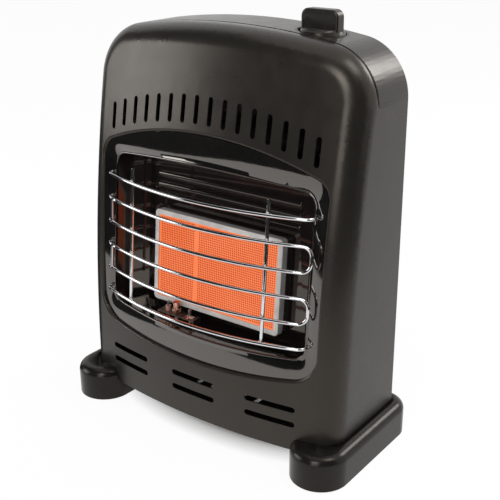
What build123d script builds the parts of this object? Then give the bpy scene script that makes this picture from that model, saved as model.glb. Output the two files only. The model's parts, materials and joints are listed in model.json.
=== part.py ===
"""Portable radiant propane heater: pressed steel casing on two moulded feet.

The frame is in millimetres: +Z is up, -Y is the front, and the origin lies on the ground in the middle
of the four rubber pads.
"""

from build123d import *
from math import atan2, cos, degrees, radians, sin, sqrt, tan
import os

# ---------------------------------------------------------------- casing
body_width = 272.0            # outside of the casing, left to right
body_height = 350.0           # ground to the top of the crown
base_height = 19.5            # ground to the bottom edge of the casing
corner_radius = 46.0          # the two upper corners of the loaf outline
crown_radius = 636.0          # shallow arc of the top
sheet = 1.2                   # casing steel
return_width = 8.0            # inward returns along the seam and the back
seam_return = 2.0             # hemmed returns that meet at the seam
base_return_width = 16.0      # inward return along the bottom
seam_y = 3.5                  # seam between front panel and wrap, at the top
seam_break_drop = 45.0        # below the crown, where the seam starts to lean forward
seam_lean = 22.0              # how far it has come forward at the base
wrap_depth = 46.0             # seam to back, at the top
groove_radius = 1.4           # shadow groove along the top of the seam
groove_end_angle = 15.0       # where the groove leaves the corner arc
groove_runout = 22.0          # its straight, fading end
fit_gap = 0.3                 # clearance between pieces that slip into each other

# ---------------------------------------------------------------- front panel
front_reach = 58.5            # origin to the foremost point of the bulge
plan_radius = 596.0           # bulge, seen from above
lean_radius = 1480.0          # backward lean, seen from the side
lean_sections = 4             # plan sections that shape the lean
roll_radius = 22.0            # rolled edge between face and sides

slot_count = 16               # upper vents
slot_pitch = 13.9
slot_length = 22.9
slot_width = 4.5
vent_drop = 52.8              # crown to the upper end of the middle slots
slot_arch_radius = 300.0
low_slot_columns = 3          # lower vents, also repeated on the back
low_slot_rows = 2
low_slot_length = 46.5
low_slot_width = 5.0
low_slot_pitch_x = 77.5
low_slot_pitch_z = 13.5
low_slot_rise = 23.6          # lower edge of the casing to the lowest row

# ---------------------------------------------------------------- window
window_side = 20.0            # casing side to the window
window_gap_above = 8.3        # middle upper vents to the window
window_gap_below = 14.9       # lower vents to the window
window_arch_radius = 294.0
window_sag_radius = 555.0
window_top_corner = 16.0
window_bottom_corner = 24.0
lip_thickness = 3.2
lip_depth = 5.9
lip_radius = 2.4

bezel_sheet = 1.2
bezel_overlap = 4.0           # how far the bezel runs behind the lip
fire_side = 12.0              # bands of the bezel round its inner opening
fire_band_above = 26.0
fire_band_below = 20.0
fire_arch_radius = 900.0
fire_corner = 12.0

# ---------------------------------------------------------------- burner
plaque_rise = 52.0            # lower edge of the fire opening to the middle of the plaque
plaque_y = -24.5              # front of the plaque frame
plaque_tilt = 5.4             # degrees that the burner leans back
frame_width = 136.7
frame_length = 83.5
frame_face = 4.5              # width of the visible frame
frame_sheet = 1.0
frame_skirt = 7.0
frame_corner = 4.0
frame_edge_radius = 0.8
tile_thickness = 12.0
tile_joint = 0.6
small_tile_width = 42.6
gasket_thickness = 1.6
ledge_width = 4.0             # shelf that carries the tiles
plenum_depth = 34.0
plenum_sheet = 1.2
plenum_taper_depth = 14.0
plenum_taper = 12.0
plenum_seat = 6.0             # collar behind the firebox
plenum_corner = 3.0

tube_radius = 8.5             # mixing tube
tube_sheet = 0.8
tube_drop = 66.0              # below the middle of the plaque
tube_y = -2.0
tube_bend = 15.0
tube_rise_x = -45.0
bell_inset = 40.0             # mouth of the bell to the casing side
bell_radius = 13.0
bell_length = 9.0
collar_length = 14.0
collar_sheet = 1.2
collar_gap = 0.1
collar_inset = 24.0           # collar centre from the mouth

injector_gap = 4.0            # mouth of the bell to the injector
injector_length = 8.0
injector_radius = 3.5
injector_bore = 0.6
holder_width = 14.0
holder_depth = 16.0
holder_height = 18.0
holder_edge = 1.5
injector_bracket_sheet = 1.2
injector_bracket_foot = 13.0

# ---------------------------------------------------------------- firebox
firebox_front = 10.0          # front of the plates, ahead of the plaque face
firebox_back = 13.0           # back plate, behind the plaque face
firebox_sheet = 1.0
side_inset = 19.0             # how far each side wall comes in towards the back
side_fold_inset = 5.0         # how far it has come in at its fold
side_fold_depth = 4.0         # fold, behind the plaque face
roof_drop = 12.0              # how far the roof comes down towards the back
floor_rise = 3.0
rib_pitch = 9.5               # pressed ribs over the plaque
rib_radius = 3.0
rib_relief = 1.8              # how far a rib stands out
rib_margin = 10.0             # ends short of the side walls

# ---------------------------------------------------------------- pilot
pilot_reach = 8.5             # ahead of the plaque frame
pilot_x = -37.0
sensor_x = -22.0
spark_x = -47.0
pilot_rise = 4.5              # lower edge of the fire opening to the underside of the shelf
pilot_shelf_sheet = 1.0
pilot_shelf_depth = 11.0
pilot_shelf_margin = 8.0
pilot_hex = 8.0
pilot_hex_height = 4.0
pilot_hood_radius = 3.0
pilot_hood_height = 6.5
pilot_port = 1.2
sensor_radius = 1.6
sensor_height = 7.0
insulator_radius = 2.5
insulator_height = 4.5
spark_radius = 0.8
spark_height = 4.0

# ---------------------------------------------------------------- guard
wire_radius = 1.5
guard_rows = 6
guard_rise = 18.0             # lower edge of the fire opening to the lowest wire
guard_drop = 23.0             # upper edge of the fire opening to the highest wire
guard_standoff = 7.3          # middle of the lowest wire, ahead of the front panel
guard_lean = 0.0926           # backward lean per unit of height
guard_radius = 310.5          # bulge of the wires, seen from above
guard_tail_side = 2.5         # ends turned back through the bezel, beside the fire opening
guard_tail_corner = 8.0
guard_tail_depth = 3.0        # past the bezel
hairpin_side = 6.1            # tails to where a hairpin leaves the bulge arc
hairpin_straight = 5.0        # between its two bends
bend_handle = 0.5523          # makes a bend's curve a quarter circle
link_side = 6.5               # tails to the link bars
rod_x = 71.0
weld_gap = 0.05               # between the wires and the rods welded behind them
rod_rise = 11.5
rod_start = 1.0               # rod ends below the lowest wire

# ---------------------------------------------------------------- feet
foot_length = 135.0
foot_width = 50.4
foot_overhang = 10.8          # foot beyond the casing side
foot_height = 30.8
foot_edge_radius = 8.0
foot_rear_corner = 20.0
foot_wall = 2.6
pad_radius = 8.0
pad_thickness = 3.0
pad_stand = 1.2               # pad proud of the foot
pad_inset = 20.0              # pad centre from either end of the foot
socket_gap = 0.1
foot_screw_y = 27.0
foot_screw_inset = 14.0       # from the casing side
screw_radius = 1.9
screw_head_radius = 3.6
screw_head_height = 1.8
screw_length = 8.0

# ---------------------------------------------------------------- back and base
back_sheet = 1.0
louvre_columns = 3
louvre_rows = 5
louvre_length = 52.0
louvre_height = 6.0
louvre_rise = 3.4
louvre_pitch_x = 66.0
louvre_pitch_z = 14.0
louvre_drop = 122.0           # crown to the lowest louvre
pan_sheet = 1.2
pan_rim = 7.0
pan_slot_count = 5
pan_slot_length = 26.0
pan_slot_width = 5.0
pan_slot_pitch = 16.0
back_screw_inset = 5.2        # screw line from the casing edge
back_screw_rise = 40.5        # lower edge of the casing to the lowest screws
back_screw_drop = 70.0        # crown to the highest screws
back_screw_count = 3

# ---------------------------------------------------------------- control
knob_inset = 65.0             # from the casing side
knob_y = 26.4
knob_hole_radius = 20.8
knob_skirt_radius = 18.7
knob_neck_radius = 16.4
knob_sink = 8.5               # skirt's lower edge below the crown
knob_skirt_band = 2.0
knob_skirt_height = 7.0
grip_height = 15.0            # above the skirt
knob_wall = 1.8
grip_width = 33.6
grip_thickness = 10.5
grip_corner = 6.0
grip_edge = 1.8
hub_radius = 5.5
hub_drop = 1.8                # hub below the skirt
press_travel = 4.0
well_sheet = 1.2
well_gap = 1.6                # skirt to well floor when pressed
well_hole_gap = 0.8
spindle_radius = 3.0
spindle_flat = 0.8
spindle_cover = 6.5           # top of the grip over the spindle
spindle_length = 39.7         # below the hub
spindle_collar_radius = 5.0
spindle_collar = 1.5
running_gap = 0.05
sleeve_radius = 6.0
sleeve_length = 31.7          # below the hub
clip_radius = 5.0
clip_sheet = 0.8
bonnet_radius = 11.0
bonnet_height = 12.0
valve_width = 36.0
valve_depth = 28.0
valve_height = 34.0
valve_drop = 32.0             # crown to the top of the valve
valve_edge = 2.0
bracket_sheet = 1.5
bracket_flange = 18.0
bracket_front_y = 10.0
igniter_pitch = 27.0          # from the knob
igniter_radius = 7.5
igniter_length = 42.0
igniter_cap_radius = 5.0
igniter_cap = 6.0

# ---------------------------------------------------------------- gas train
pipe_radius = 3.0
pilot_pipe_radius = 2.0
lead_radius = 1.3
bend_limit = 40.0             # widest bend of a pipe
inlet_inset = 52.0            # from the casing side
inlet_rise = 26.1             # above the base pan
inlet_body_radius = 9.0       # bulkhead body that the nut clamps
inlet_step = 0.5              # body proud of the nut
inlet_thread_radius = 7.94    # 5/8"-18 flare thread
inlet_thread_length = 13.5
inlet_nut_hex = 24.0
inlet_nut_thickness = 4.0
inlet_bore_radius = 4.0
inlet_bore_depth = 22.0
inlet_cone = 2.4
regulator_radius = 19.0
regulator_rim = 5.0
regulator_cap_radius = 10.0
regulator_cap = 5.0
regulator_neck_radius = 13.0
regulator_neck = 8.0
regulator_y = 15.0            # front of the regulator
regulator_depth = 24.0
switch_inset = 66.0           # from the casing side
switch_y = 12.0
switch_radius = 15.0
switch_height = 24.0
switch_flange_radius = 18.0
switch_flange = 1.5
pilot_port_y = 7.0            # ports and terminals, from the knob's axis
lead_port_y = 11.0
terminal_x = 7.0              # switch terminal, from the switch's axis
terminal_y = 6.0
pilot_pipe_drop = 48.5        # straight runs below the pilot shelf
igniter_lead_drop = 38.5
sensor_lead_drop = 26.5
switch_lead_rise = 22.1       # straight runs above the switch and the pan
sensor_lead_rise = 20.1
pilot_pipe_climb = 58.1       # where runs turn upright, above the inlet's height
igniter_lead_climb = 52.0
switch_lead_climb = 34.0      # below the valve
pilot_pipe_run = [(-16.0, 0.0, 44.0), (20.0, 30.0, 52.0)]
igniter_lead_run = [(-40.0, -20.0, 32.0), (0.0, 16.0, 30.0), (34.0, 24.0, 40.0)]
sensor_lead_run = [(-52.0, -22.0, 66.0), (-70.0, -8.0, 64.0)]
switch_lead_run = [(-50.0, 36.0, 110.0), (10.0, 38.0, 190.0)]

# ---------------------------------------------------------------- heat shields
shield_sheet = 1.0
rear_shield_y = 17.0
rear_shield_rise = 45.0       # mixing tube to the shield's lower edge
rear_shield_drop = 88.0       # crown to its upper edge
rear_shield_flange = 12.0
top_shield_side = 18.0        # from the casing side
top_shield_front_y = -20.0

far = 400.0                   # longer than any piece


# ---------------------------------------------------------------- shared values
half_width = body_width / 2
rear_y = seam_y + wrap_depth
crown_centre = body_height - crown_radius
corner_x = half_width - corner_radius
corner_height = crown_centre + sqrt((crown_radius - corner_radius) ** 2 - corner_x**2)
floor_height = base_height + sheet              # top of the casing's bottom return
pan_top = floor_height + pan_sheet
seam_break_height = body_height - seam_break_drop
bezel_setback = lip_depth + fit_gap

slot_top_height = body_height - vent_drop
low_slot_height = base_height + low_slot_rise
low_slot_span = (low_slot_rows - 1) * low_slot_pitch_z
window_width = body_width - 2 * window_side
window_top_height = slot_top_height - slot_length - window_gap_above
window_bottom_height = low_slot_height + low_slot_span + low_slot_width / 2 + window_gap_below
fire_width = window_width - 2 * fire_side
fire_top_height = window_top_height - fire_band_above
fire_bottom_height = window_bottom_height + fire_band_below

plaque_height = fire_bottom_height + plaque_rise
tube_height = plaque_height - tube_drop
bell_x = half_width - bell_inset
pilot_y = plaque_y - pilot_reach
pilot_shelf_height = fire_bottom_height + pilot_rise
rear_shield_low = tube_height + rear_shield_rise
rear_shield_high = body_height - rear_shield_drop
top_shield_width = body_width - 2 * top_shield_side
louvre_low_height = body_height - louvre_drop

guard_low_height = fire_bottom_height + guard_rise
guard_high_height = fire_top_height - guard_drop
guard_pitch = (guard_high_height - guard_low_height) / (guard_rows - 1)
guard_reach = front_reach + guard_standoff
guard_tail_x = fire_width / 2 + guard_tail_side
hairpin_x = guard_tail_x - hairpin_side
hairpin_corner = (guard_pitch - hairpin_straight) / 2
link_x = link_side - guard_tail_x
rod_slope = cos(atan2(guard_lean, 1)) * sqrt(1 - (rod_x / guard_radius) ** 2)
rod_seat = (2 * wire_radius + weld_gap) / rod_slope

knob_x = half_width - knob_inset
knob_skirt_low = body_height - knob_sink
knob_skirt_high = knob_skirt_low + knob_skirt_height
knob_top = knob_skirt_high + grip_height
hub_low = knob_skirt_low - hub_drop
spindle_top = knob_top - spindle_cover
spindle_low = hub_low - spindle_length
sleeve_low = hub_low - sleeve_length
valve_top = body_height - valve_drop
igniter_x = knob_x - igniter_pitch
inlet_x = half_width - inlet_inset
inlet_height = pan_top + inlet_rise
switch_x = switch_inset - half_width

foot_x = half_width + foot_overhang - foot_width / 2
pocket_floor = base_height - foot_wall
screw_x = half_width - foot_screw_inset
back_inner_y = rear_y - back_sheet
flange_y = back_inner_y - sheet                 # front of the wrap's rear return
back_screw_x = half_width - back_screw_inset
back_screw_low = base_height + back_screw_rise
back_screw_pitch = (body_height - back_screw_drop - back_screw_low) / (back_screw_count - 1)
back_screw_spots = [
    (side * back_screw_x, back_screw_low + index * back_screw_pitch)
    for side in (-1, 1)
    for index in range(back_screw_count)
]

tilt = radians(plaque_tilt)
burner_plane = Plane(
    origin=(0, plaque_y, plaque_height),
    x_dir=(1, 0, 0),
    z_dir=(0, -cos(tilt), sin(tilt)),
)
burner_up = burner_plane.y_dir
burner_back = burner_plane.z_dir * -1
burner_plan = Plane(origin=burner_plane.origin, x_dir=(1, 0, 0), z_dir=burner_up)
burner_side = Plane(origin=burner_plane.origin, x_dir=burner_back, z_dir=(1, 0, 0))
plenum_width = frame_width - 2 * (frame_sheet + fit_gap)
plenum_length = frame_length - 2 * (frame_sheet + fit_gap)
field_width = plenum_width - 2 * (plenum_sheet + gasket_thickness)
field_length = plenum_length - 2 * (plenum_sheet + gasket_thickness)
tile_back = frame_sheet + tile_thickness
firebox_top_v = (fire_top_height - plaque_height - firebox_front * sin(tilt)) / cos(tilt)
firebox_low_v = (fire_bottom_height - plaque_height - firebox_front * sin(tilt)) / cos(tilt)


# ---------------------------------------------------------------- shared forms
def block(low, high):
    """A box between two corners."""
    size = [b - a for a, b in zip(low, high)]
    middle = [(a + b) / 2 for a, b in zip(low, high)]
    with BuildPart() as body:
        with Locations(tuple(middle)):
            Box(*size)
    return body.part


def slab(plane, low, high):
    """A thick layer between two offsets of a plane, wider than the heater."""
    with BuildPart() as body:
        with BuildSketch(plane.offset(low)):
            Rectangle(2 * far, 2 * far)
        extrude(amount=high - low)
    return body.part


def clipped(shape, *limits):
    """What of the shape lies inside every limit."""
    with BuildPart() as body:
        add(shape)
        for limit in limits:
            add(limit, mode=Mode.INTERSECT)
    return body.part


def without(shape, *tools):
    """The shape with every tool cut out of it."""
    with BuildPart() as body:
        add(shape)
        for tool in tools:
            add(tool, mode=Mode.SUBTRACT)
    return body.part


def drawn(outline, length=far):
    """An outline drawn out along its own normal."""
    with BuildPart() as body:
        extrude(outline, amount=length)
    return body.part


def rod(start, end, radius):
    """A round bar between two points."""
    with BuildPart() as body:
        with BuildSketch(Plane(origin=start, z_dir=Vector(*end) - Vector(*start))):
            Circle(radius)
        extrude(amount=(Vector(*end) - Vector(*start)).length)
    return body.part


def bend_radii(points):
    """One bend radius for each inner point, as wide as the two runs beside it allow."""
    radii = []
    for before, corner, after in zip(points, points[1:], points[2:]):
        run_in = Vector(*corner) - Vector(*before)
        run_out = Vector(*after) - Vector(*corner)
        half_turn = radians(run_in.get_angle(run_out)) / 2
        radii.append(min(0.45 * min(run_in.length, run_out.length) / tan(half_turn), bend_limit))
    return radii


def pipe(points, radius):
    """A pipe or lead along straight runs joined by tangent arcs."""
    with BuildPart() as body:
        with BuildLine():
            route = FilletPolyline(*points, radius=bend_radii(points))
        with BuildSketch(Plane(origin=route @ 0, z_dir=route % 0)):
            Circle(radius)
        sweep()
    return body.part


def loaf(inset):
    """The casing's outline seen from the front, shrunk by inset and drawn out along Y."""
    side = half_width - inset
    top = body_height - inset
    crown = crown_radius - inset
    eaves = top - (crown - sqrt(crown**2 - side**2))
    with BuildPart() as body:
        with BuildSketch(Plane.XZ.offset(-far)) as outline:
            with BuildLine():
                Polyline((-side, eaves), (-side, base_height), (side, base_height), (side, eaves))
                ThreePointArc((side, eaves), (0, top), (-side, eaves))
            make_face()
            fillet(outline.vertices().group_by(Axis.Y)[-1], corner_radius - inset)
        extrude(amount=2 * far)
    return body.part


def pillow(inset):
    """The loaf with its bulged, leaning front and the rolled edge round it, shrunk by inset."""
    side = half_width + corner_radius
    bow = plan_radius - inset
    lean = lean_radius - inset
    limit = loaf(inset)
    with BuildPart() as body:
        for step in range(lean_sections):
            rise = step * body_height / (lean_sections - 1)
            nose = inset - front_reach + lean - sqrt(lean**2 - rise**2)
            edge = nose + bow - sqrt(bow**2 - side**2)
            with BuildSketch(Plane.XY.offset(base_height + rise)):
                with BuildLine():
                    ThreePointArc((-side, edge), (0, nose), (side, edge))
                    Polyline((side, edge), (side, far), (-side, far), (-side, edge))
                make_face()
        loft()
        add(limit, mode=Mode.INTERSECT)
        face = body.faces().sort_by(Axis.Y)[0]
        fillet(face.edges().sort_by(Axis.Z)[1:], roll_radius - inset)
    return body.part


def ahead_of_seam(shift=0.0):
    """Everything in front of the seam, with the seam moved forward by shift."""
    with BuildPart() as body:
        with BuildSketch(Plane.YZ.offset(-far)):
            with BuildLine():
                Polyline(
                    (seam_y - seam_lean - shift, base_height),
                    (seam_y - shift, seam_break_height),
                    (seam_y - shift, 2 * far),
                    (-far, 2 * far),
                    (-far, base_height),
                    close=True,
                )
            make_face()
        extrude(amount=2 * far)
    return body.part


def arched(width, low, high, sag, arch, low_corner, high_corner, growth=0.0):
    """Front-view outline with an arched top, a sagging bottom and round corners, grown by growth."""
    side = width / 2 + growth
    crown = arch + growth
    bowl = sag + growth
    shoulder = high + growth - crown + sqrt(crown**2 - side**2)
    heel = low - growth + bowl - sqrt(bowl**2 - side**2)
    with BuildSketch(Plane.XZ) as outline:
        with BuildLine():
            ThreePointArc((-side, shoulder), (0, high + growth), (side, shoulder))
            Line((side, shoulder), (side, heel))
            ThreePointArc((side, heel), (0, low - growth), (-side, heel))
            Line((-side, heel), (-side, shoulder))
        make_face()
        fillet(outline.vertices().group_by(Axis.Y)[-1], high_corner + growth)
        fillet(outline.vertices().group_by(Axis.Y)[0], low_corner + growth)
    return outline.sketch


def window(growth=0.0):
    """The window, drawn forward from the middle of the casing."""
    return drawn(
        arched(
            window_width,
            window_bottom_height,
            window_top_height,
            window_sag_radius,
            window_arch_radius,
            window_bottom_corner,
            window_top_corner,
            growth,
        )
    )


def fire_opening(growth=0.0):
    """The bezel's inner opening, drawn forward from the middle of the casing."""
    return drawn(
        arched(
            fire_width,
            fire_bottom_height,
            fire_top_height,
            fire_arch_radius,
            fire_arch_radius,
            fire_corner,
            fire_corner,
            growth,
        )
    )


def seam_groove():
    """Round groove along the crown and the corners, running out along straight tangents."""
    join = degrees(atan2(corner_height - crown_centre, corner_x))
    end_x = corner_x + corner_radius * cos(radians(groove_end_angle))
    end_height = corner_height + corner_radius * sin(radians(groove_end_angle))
    out_x = end_x + groove_runout * sin(radians(groove_end_angle))
    out_height = end_height - groove_runout * cos(radians(groove_end_angle))
    with BuildPart() as body:
        with BuildLine(Plane.XZ.offset(-seam_y)) as route:
            Line((out_x, out_height), (end_x, end_height))
            CenterArc((corner_x, corner_height), corner_radius, groove_end_angle, join - groove_end_angle)
            CenterArc((0, crown_centre), crown_radius, join, 180 - 2 * join)
            CenterArc((-corner_x, corner_height), corner_radius, 180 - join, join - groove_end_angle)
            Line((-end_x, end_height), (-out_x, out_height))
        path = route.wires()[0]
        with BuildSketch(Plane(origin=path @ 0, z_dir=path % 0)):
            Circle(groove_radius)
        sweep(path=path)
    return body.part


def low_vents(plane):
    """Rows of long horizontal slots, drawn out from a plane that faces forward or back."""
    with BuildPart() as body:
        with BuildSketch(plane):
            with Locations((0, low_slot_height + low_slot_span / 2)):
                with GridLocations(low_slot_pitch_x, low_slot_pitch_z, low_slot_columns, low_slot_rows):
                    SlotOverall(low_slot_length, low_slot_width)
        extrude(amount=far)
    return body.part


# ---------------------------------------------------------------- limits and cutters
front_space = ahead_of_seam()
above_floor = block((-far, -far, floor_height), (far, far, 2 * far))
panel_outer = clipped(pillow(0), front_space)
panel_inner = clipped(pillow(sheet), ahead_of_seam(seam_return), above_floor)
panel_core = clipped(pillow(return_width), above_floor)
panel_floor_cut = pillow(base_return_width)
groove = seam_groove()

window_cut = window()
lip_outer = window(lip_thickness)
lip_ring = clipped(without(lip_outer, window_cut), pillow(0))
lip_ring = without(lip_ring, pillow(lip_depth))
front_vents = low_vents(Plane.XZ)

with BuildPart() as arched_vents:
    for index in range(slot_count):
        slot_x = (index - (slot_count - 1) / 2) * slot_pitch
        slot_drop = slot_arch_radius - sqrt(slot_arch_radius**2 - slot_x**2)
        with BuildSketch(Plane.XZ):
            with Locations((slot_x, slot_top_height - slot_drop - slot_length / 2)):
                SlotOverall(slot_length, slot_width, rotation=90)
        extrude(amount=far)
upper_vents = arched_vents.part

# ---------------------------------------------------------------- front panel
with BuildPart() as window_lip:
    add(lip_ring)
    lip_face = window_lip.faces().sort_by(SortBy.AREA)[-1]
    fillet(lip_face.inner_wires()[0].edges(), lip_radius)

with BuildPart() as front_panel:
    add(panel_outer)
    add(panel_inner, mode=Mode.SUBTRACT)
    add(panel_core, mode=Mode.SUBTRACT)
    add(panel_floor_cut, mode=Mode.SUBTRACT)
    add(groove, mode=Mode.SUBTRACT)
    add(lip_outer, mode=Mode.SUBTRACT)
    add(window_lip.part)
    add(upper_vents, mode=Mode.SUBTRACT)
    add(front_vents, mode=Mode.SUBTRACT)
    with BuildSketch(Plane.XY):
        with Locations((-screw_x, -foot_screw_y), (screw_x, -foot_screw_y)):
            Circle(screw_radius + fit_gap)
    extrude(amount=pan_top, mode=Mode.SUBTRACT)
front_panel.part.label = "front_panel"

# ---------------------------------------------------------------- casing wrap
wrap_cavity = clipped(without(loaf(sheet), ahead_of_seam(-seam_return)), above_floor)
with BuildPart() as casing_wrap:
    add(loaf(0))
    add(front_space, mode=Mode.SUBTRACT)
    add(block((-far, rear_y, 0), (far, far, far)), mode=Mode.SUBTRACT)
    add(clipped(wrap_cavity, block((-far, -far, 0), (far, flange_y, far))), mode=Mode.SUBTRACT)
    add(clipped(loaf(return_width), above_floor), mode=Mode.SUBTRACT)
    add(clipped(loaf(sheet), block((-far, back_inner_y, 0), (far, far, far))), mode=Mode.SUBTRACT)
    add(
        block(
            (base_return_width - half_width, -far, 0),
            (half_width - base_return_width, back_inner_y - base_return_width, floor_height),
        ),
        mode=Mode.SUBTRACT,
    )
    add(groove, mode=Mode.SUBTRACT)
    with BuildSketch(Plane.XY.offset(hub_low)):
        with Locations((knob_x, knob_y)):
            Circle(knob_hole_radius)
    extrude(amount=far, mode=Mode.SUBTRACT)
    with BuildSketch(Plane.XY):
        with Locations((-screw_x, foot_screw_y), (screw_x, foot_screw_y)):
            Circle(screw_radius + fit_gap)
    extrude(amount=pan_top, mode=Mode.SUBTRACT)
    with BuildSketch(Plane.XZ.offset(-rear_y)):
        with Locations(*back_screw_spots):
            Circle(screw_radius + fit_gap)
    extrude(amount=back_sheet + 2 * sheet, mode=Mode.SUBTRACT)
casing_wrap.part.label = "casing_wrap"

# ---------------------------------------------------------------- window bezel
bezel_front = pillow(bezel_setback)
bezel_rear = pillow(bezel_setback + bezel_sheet)
fire_cut = fire_opening()
bezel_return = clipped(
    fire_opening(bezel_sheet),
    bezel_front,
    slab(burner_plane, firebox_front, far),
)
tail_heights = (guard_low_height, guard_high_height)
hairpin_heights = (guard_low_height + guard_pitch, guard_low_height + 3 * guard_pitch)
tail_holes = [(side * guard_tail_x, height) for side in (-1, 1) for height in tail_heights]
tail_holes += [(-guard_tail_x, height + step) for height in hairpin_heights for step in (0, guard_pitch)]

with BuildPart() as window_bezel:
    add(bezel_front)
    add(bezel_rear, mode=Mode.SUBTRACT)
    add(window(bezel_overlap), mode=Mode.INTERSECT)
    add(bezel_return)
    add(fire_cut, mode=Mode.SUBTRACT)
    with BuildSketch(Plane.XZ):
        with Locations(*tail_holes):
            Circle(wire_radius + fit_gap)
    extrude(amount=far, mode=Mode.SUBTRACT)
window_bezel.part.label = "window_bezel"


# ---------------------------------------------------------------- firebox
def firebox_plan(shift=0.0):
    """The firebox seen from above, its side walls moved out by shift."""
    front_x = fire_width / 2 + shift
    with BuildPart() as body:
        with BuildSketch(burner_plan.offset(-far)):
            with BuildLine():
                Polyline(
                    (-front_x, -firebox_front),
                    (side_fold_inset - front_x, side_fold_depth),
                    (side_inset - front_x, firebox_back + firebox_sheet),
                    (front_x - side_inset, firebox_back + firebox_sheet),
                    (front_x - side_fold_inset, side_fold_depth),
                    (front_x, -firebox_front),
                    close=True,
                )
            make_face()
        extrude(amount=2 * far)
    return body.part


def firebox_profile(shift=0.0):
    """The firebox seen from the side, its roof and floor moved out by shift."""
    with BuildPart() as body:
        with BuildSketch(burner_side.offset(-far)):
            with BuildLine():
                Polyline(
                    (-firebox_front, firebox_low_v - shift),
                    (firebox_back + firebox_sheet, firebox_low_v + floor_rise - shift),
                    (firebox_back + firebox_sheet, firebox_top_v - roof_drop + shift),
                    (-firebox_front, firebox_top_v + shift),
                    close=True,
                )
            make_face()
        extrude(amount=2 * far)
    return body.part


plan_inner = firebox_plan()
plan_outer = firebox_plan(firebox_sheet)
profile_inner = firebox_profile()
profile_outer = firebox_profile(firebox_sheet)
firebox_depth = slab(burner_plane, -firebox_back, firebox_front)
upper_half = slab(burner_plan, 0, far)
lower_half = slab(burner_plan, -far, 0)
right_half = block((0, -far, -far), (far, far, far))
left_half = block((-far, -far, -far), (0, far, far))
roof_and_floor = without(clipped(profile_outer, plan_outer, firebox_depth, bezel_rear), profile_inner)
side_walls = without(clipped(plan_outer, profile_inner, firebox_depth, bezel_rear), plan_inner)

with BuildPart() as firebox_top:
    add(roof_and_floor)
    add(upper_half, mode=Mode.INTERSECT)
firebox_top.part.label = "firebox_top"

with BuildPart() as firebox_floor:
    add(roof_and_floor)
    add(lower_half, mode=Mode.INTERSECT)
    with BuildSketch(Plane.XY):
        with Locations((pilot_x, pilot_y)):
            Circle(pilot_pipe_radius + fit_gap)
        with Locations((sensor_x, pilot_y), (spark_x, pilot_y)):
            Circle(lead_radius + fit_gap)
    extrude(amount=plaque_height, mode=Mode.SUBTRACT)
firebox_floor.part.label = "firebox_floor"

with BuildPart() as firebox_left_side:
    add(side_walls)
    add(left_half, mode=Mode.INTERSECT)
firebox_left_side.part.label = "firebox_left_side"

with BuildPart() as firebox_right_side:
    add(side_walls)
    add(right_half, mode=Mode.INTERSECT)
firebox_right_side.part.label = "firebox_right_side"

back_layer = slab(burner_plane, -firebox_back - firebox_sheet, -firebox_back)
back_outline = clipped(profile_outer, plan_outer, back_layer)
rib_length = fire_width - 2 * side_inset - 2 * rib_margin
rib_count = int((firebox_top_v - roof_drop - frame_length / 2) / rib_pitch) - 1
rib_spots = [
    (firebox_back - rib_relief + rib_radius, frame_length / 2 + (index + 1) * rib_pitch)
    for index in range(rib_count)
]

with BuildPart() as firebox_back_plate:
    add(back_outline)
    for rib_spot in rib_spots:
        with BuildSketch(burner_side.offset(-rib_length / 2)):
            with Locations(rib_spot):
                Circle(rib_radius)
        extrude(amount=rib_length)
        with BuildSketch(burner_side.offset(firebox_sheet - rib_length / 2)):
            with Locations(rib_spot):
                Circle(rib_radius - firebox_sheet)
        extrude(amount=rib_length - 2 * firebox_sheet, mode=Mode.SUBTRACT)
    add(slab(burner_plane, -far, -firebox_back - firebox_sheet), mode=Mode.SUBTRACT)
    with BuildSketch(burner_plane.offset(-firebox_back - firebox_sheet)):
        Rectangle(plenum_width + 2 * fit_gap, plenum_length + 2 * fit_gap)
    extrude(amount=2 * firebox_sheet, mode=Mode.SUBTRACT)
firebox_back_plate.part.label = "firebox_back"


# ---------------------------------------------------------------- burner
def plenum(inset=0.0):
    """The burner pan as a solid, its walls moved in by inset."""
    width = plenum_width - 2 * inset
    length = plenum_length - 2 * inset
    corner = plenum_corner - inset
    straight = plenum_depth - plenum_taper_depth
    with BuildPart() as body:
        with BuildSketch(burner_plane.offset(-frame_sheet - straight)):
            RectangleRounded(width, length, corner)
        extrude(amount=straight)
        with BuildSketch(burner_plane.offset(-frame_sheet - straight)):
            RectangleRounded(width, length, corner)
        with BuildSketch(burner_plane.offset(inset - frame_sheet - plenum_depth)):
            RectangleRounded(width - 2 * plenum_taper, length - 2 * plenum_taper, corner)
        loft()
    return body.part


tube_route = [
    (bell_x - bell_length, tube_y, tube_height),
    (tube_rise_x, tube_y, tube_height),
    (tube_rise_x, tube_y, plaque_height - frame_length / 4),
]


def mixing_pipe(radius):
    """The round inside or outside of the mixing tube."""
    with BuildPart() as body:
        with BuildLine():
            route = FilletPolyline(*tube_route, radius=tube_bend)
        with BuildSketch(Plane(origin=route @ 0, z_dir=route % 0)):
            Circle(radius)
        sweep()
        with Locations(Location((bell_x - bell_length / 2, tube_y, tube_height), (0, 90, 0))):
            Cone(radius, radius + bell_radius - tube_radius, bell_length)
    return body.part


tube_bore = mixing_pipe(tube_radius - tube_sheet)
plenum_outer = plenum()
plenum_inner = plenum(plenum_sheet)

with BuildPart() as burner_body:
    add(plenum_outer)
    with BuildSketch(burner_plane.offset(-firebox_back - 2 * firebox_sheet)):
        Rectangle(plenum_width + 2 * plenum_seat, plenum_length + 2 * plenum_seat)
    extrude(amount=firebox_sheet)
    add(plenum_inner, mode=Mode.SUBTRACT)
    with BuildSketch(burner_plane.offset(-tile_back - plenum_sheet)):
        Rectangle(plenum_width - plenum_sheet, plenum_length - plenum_sheet)
        Rectangle(field_width - ledge_width, field_length - ledge_width, mode=Mode.SUBTRACT)
    extrude(amount=plenum_sheet)
    add(clipped(tube_bore, lower_half), mode=Mode.SUBTRACT)
burner_body.part.label = "burner_body"

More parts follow.
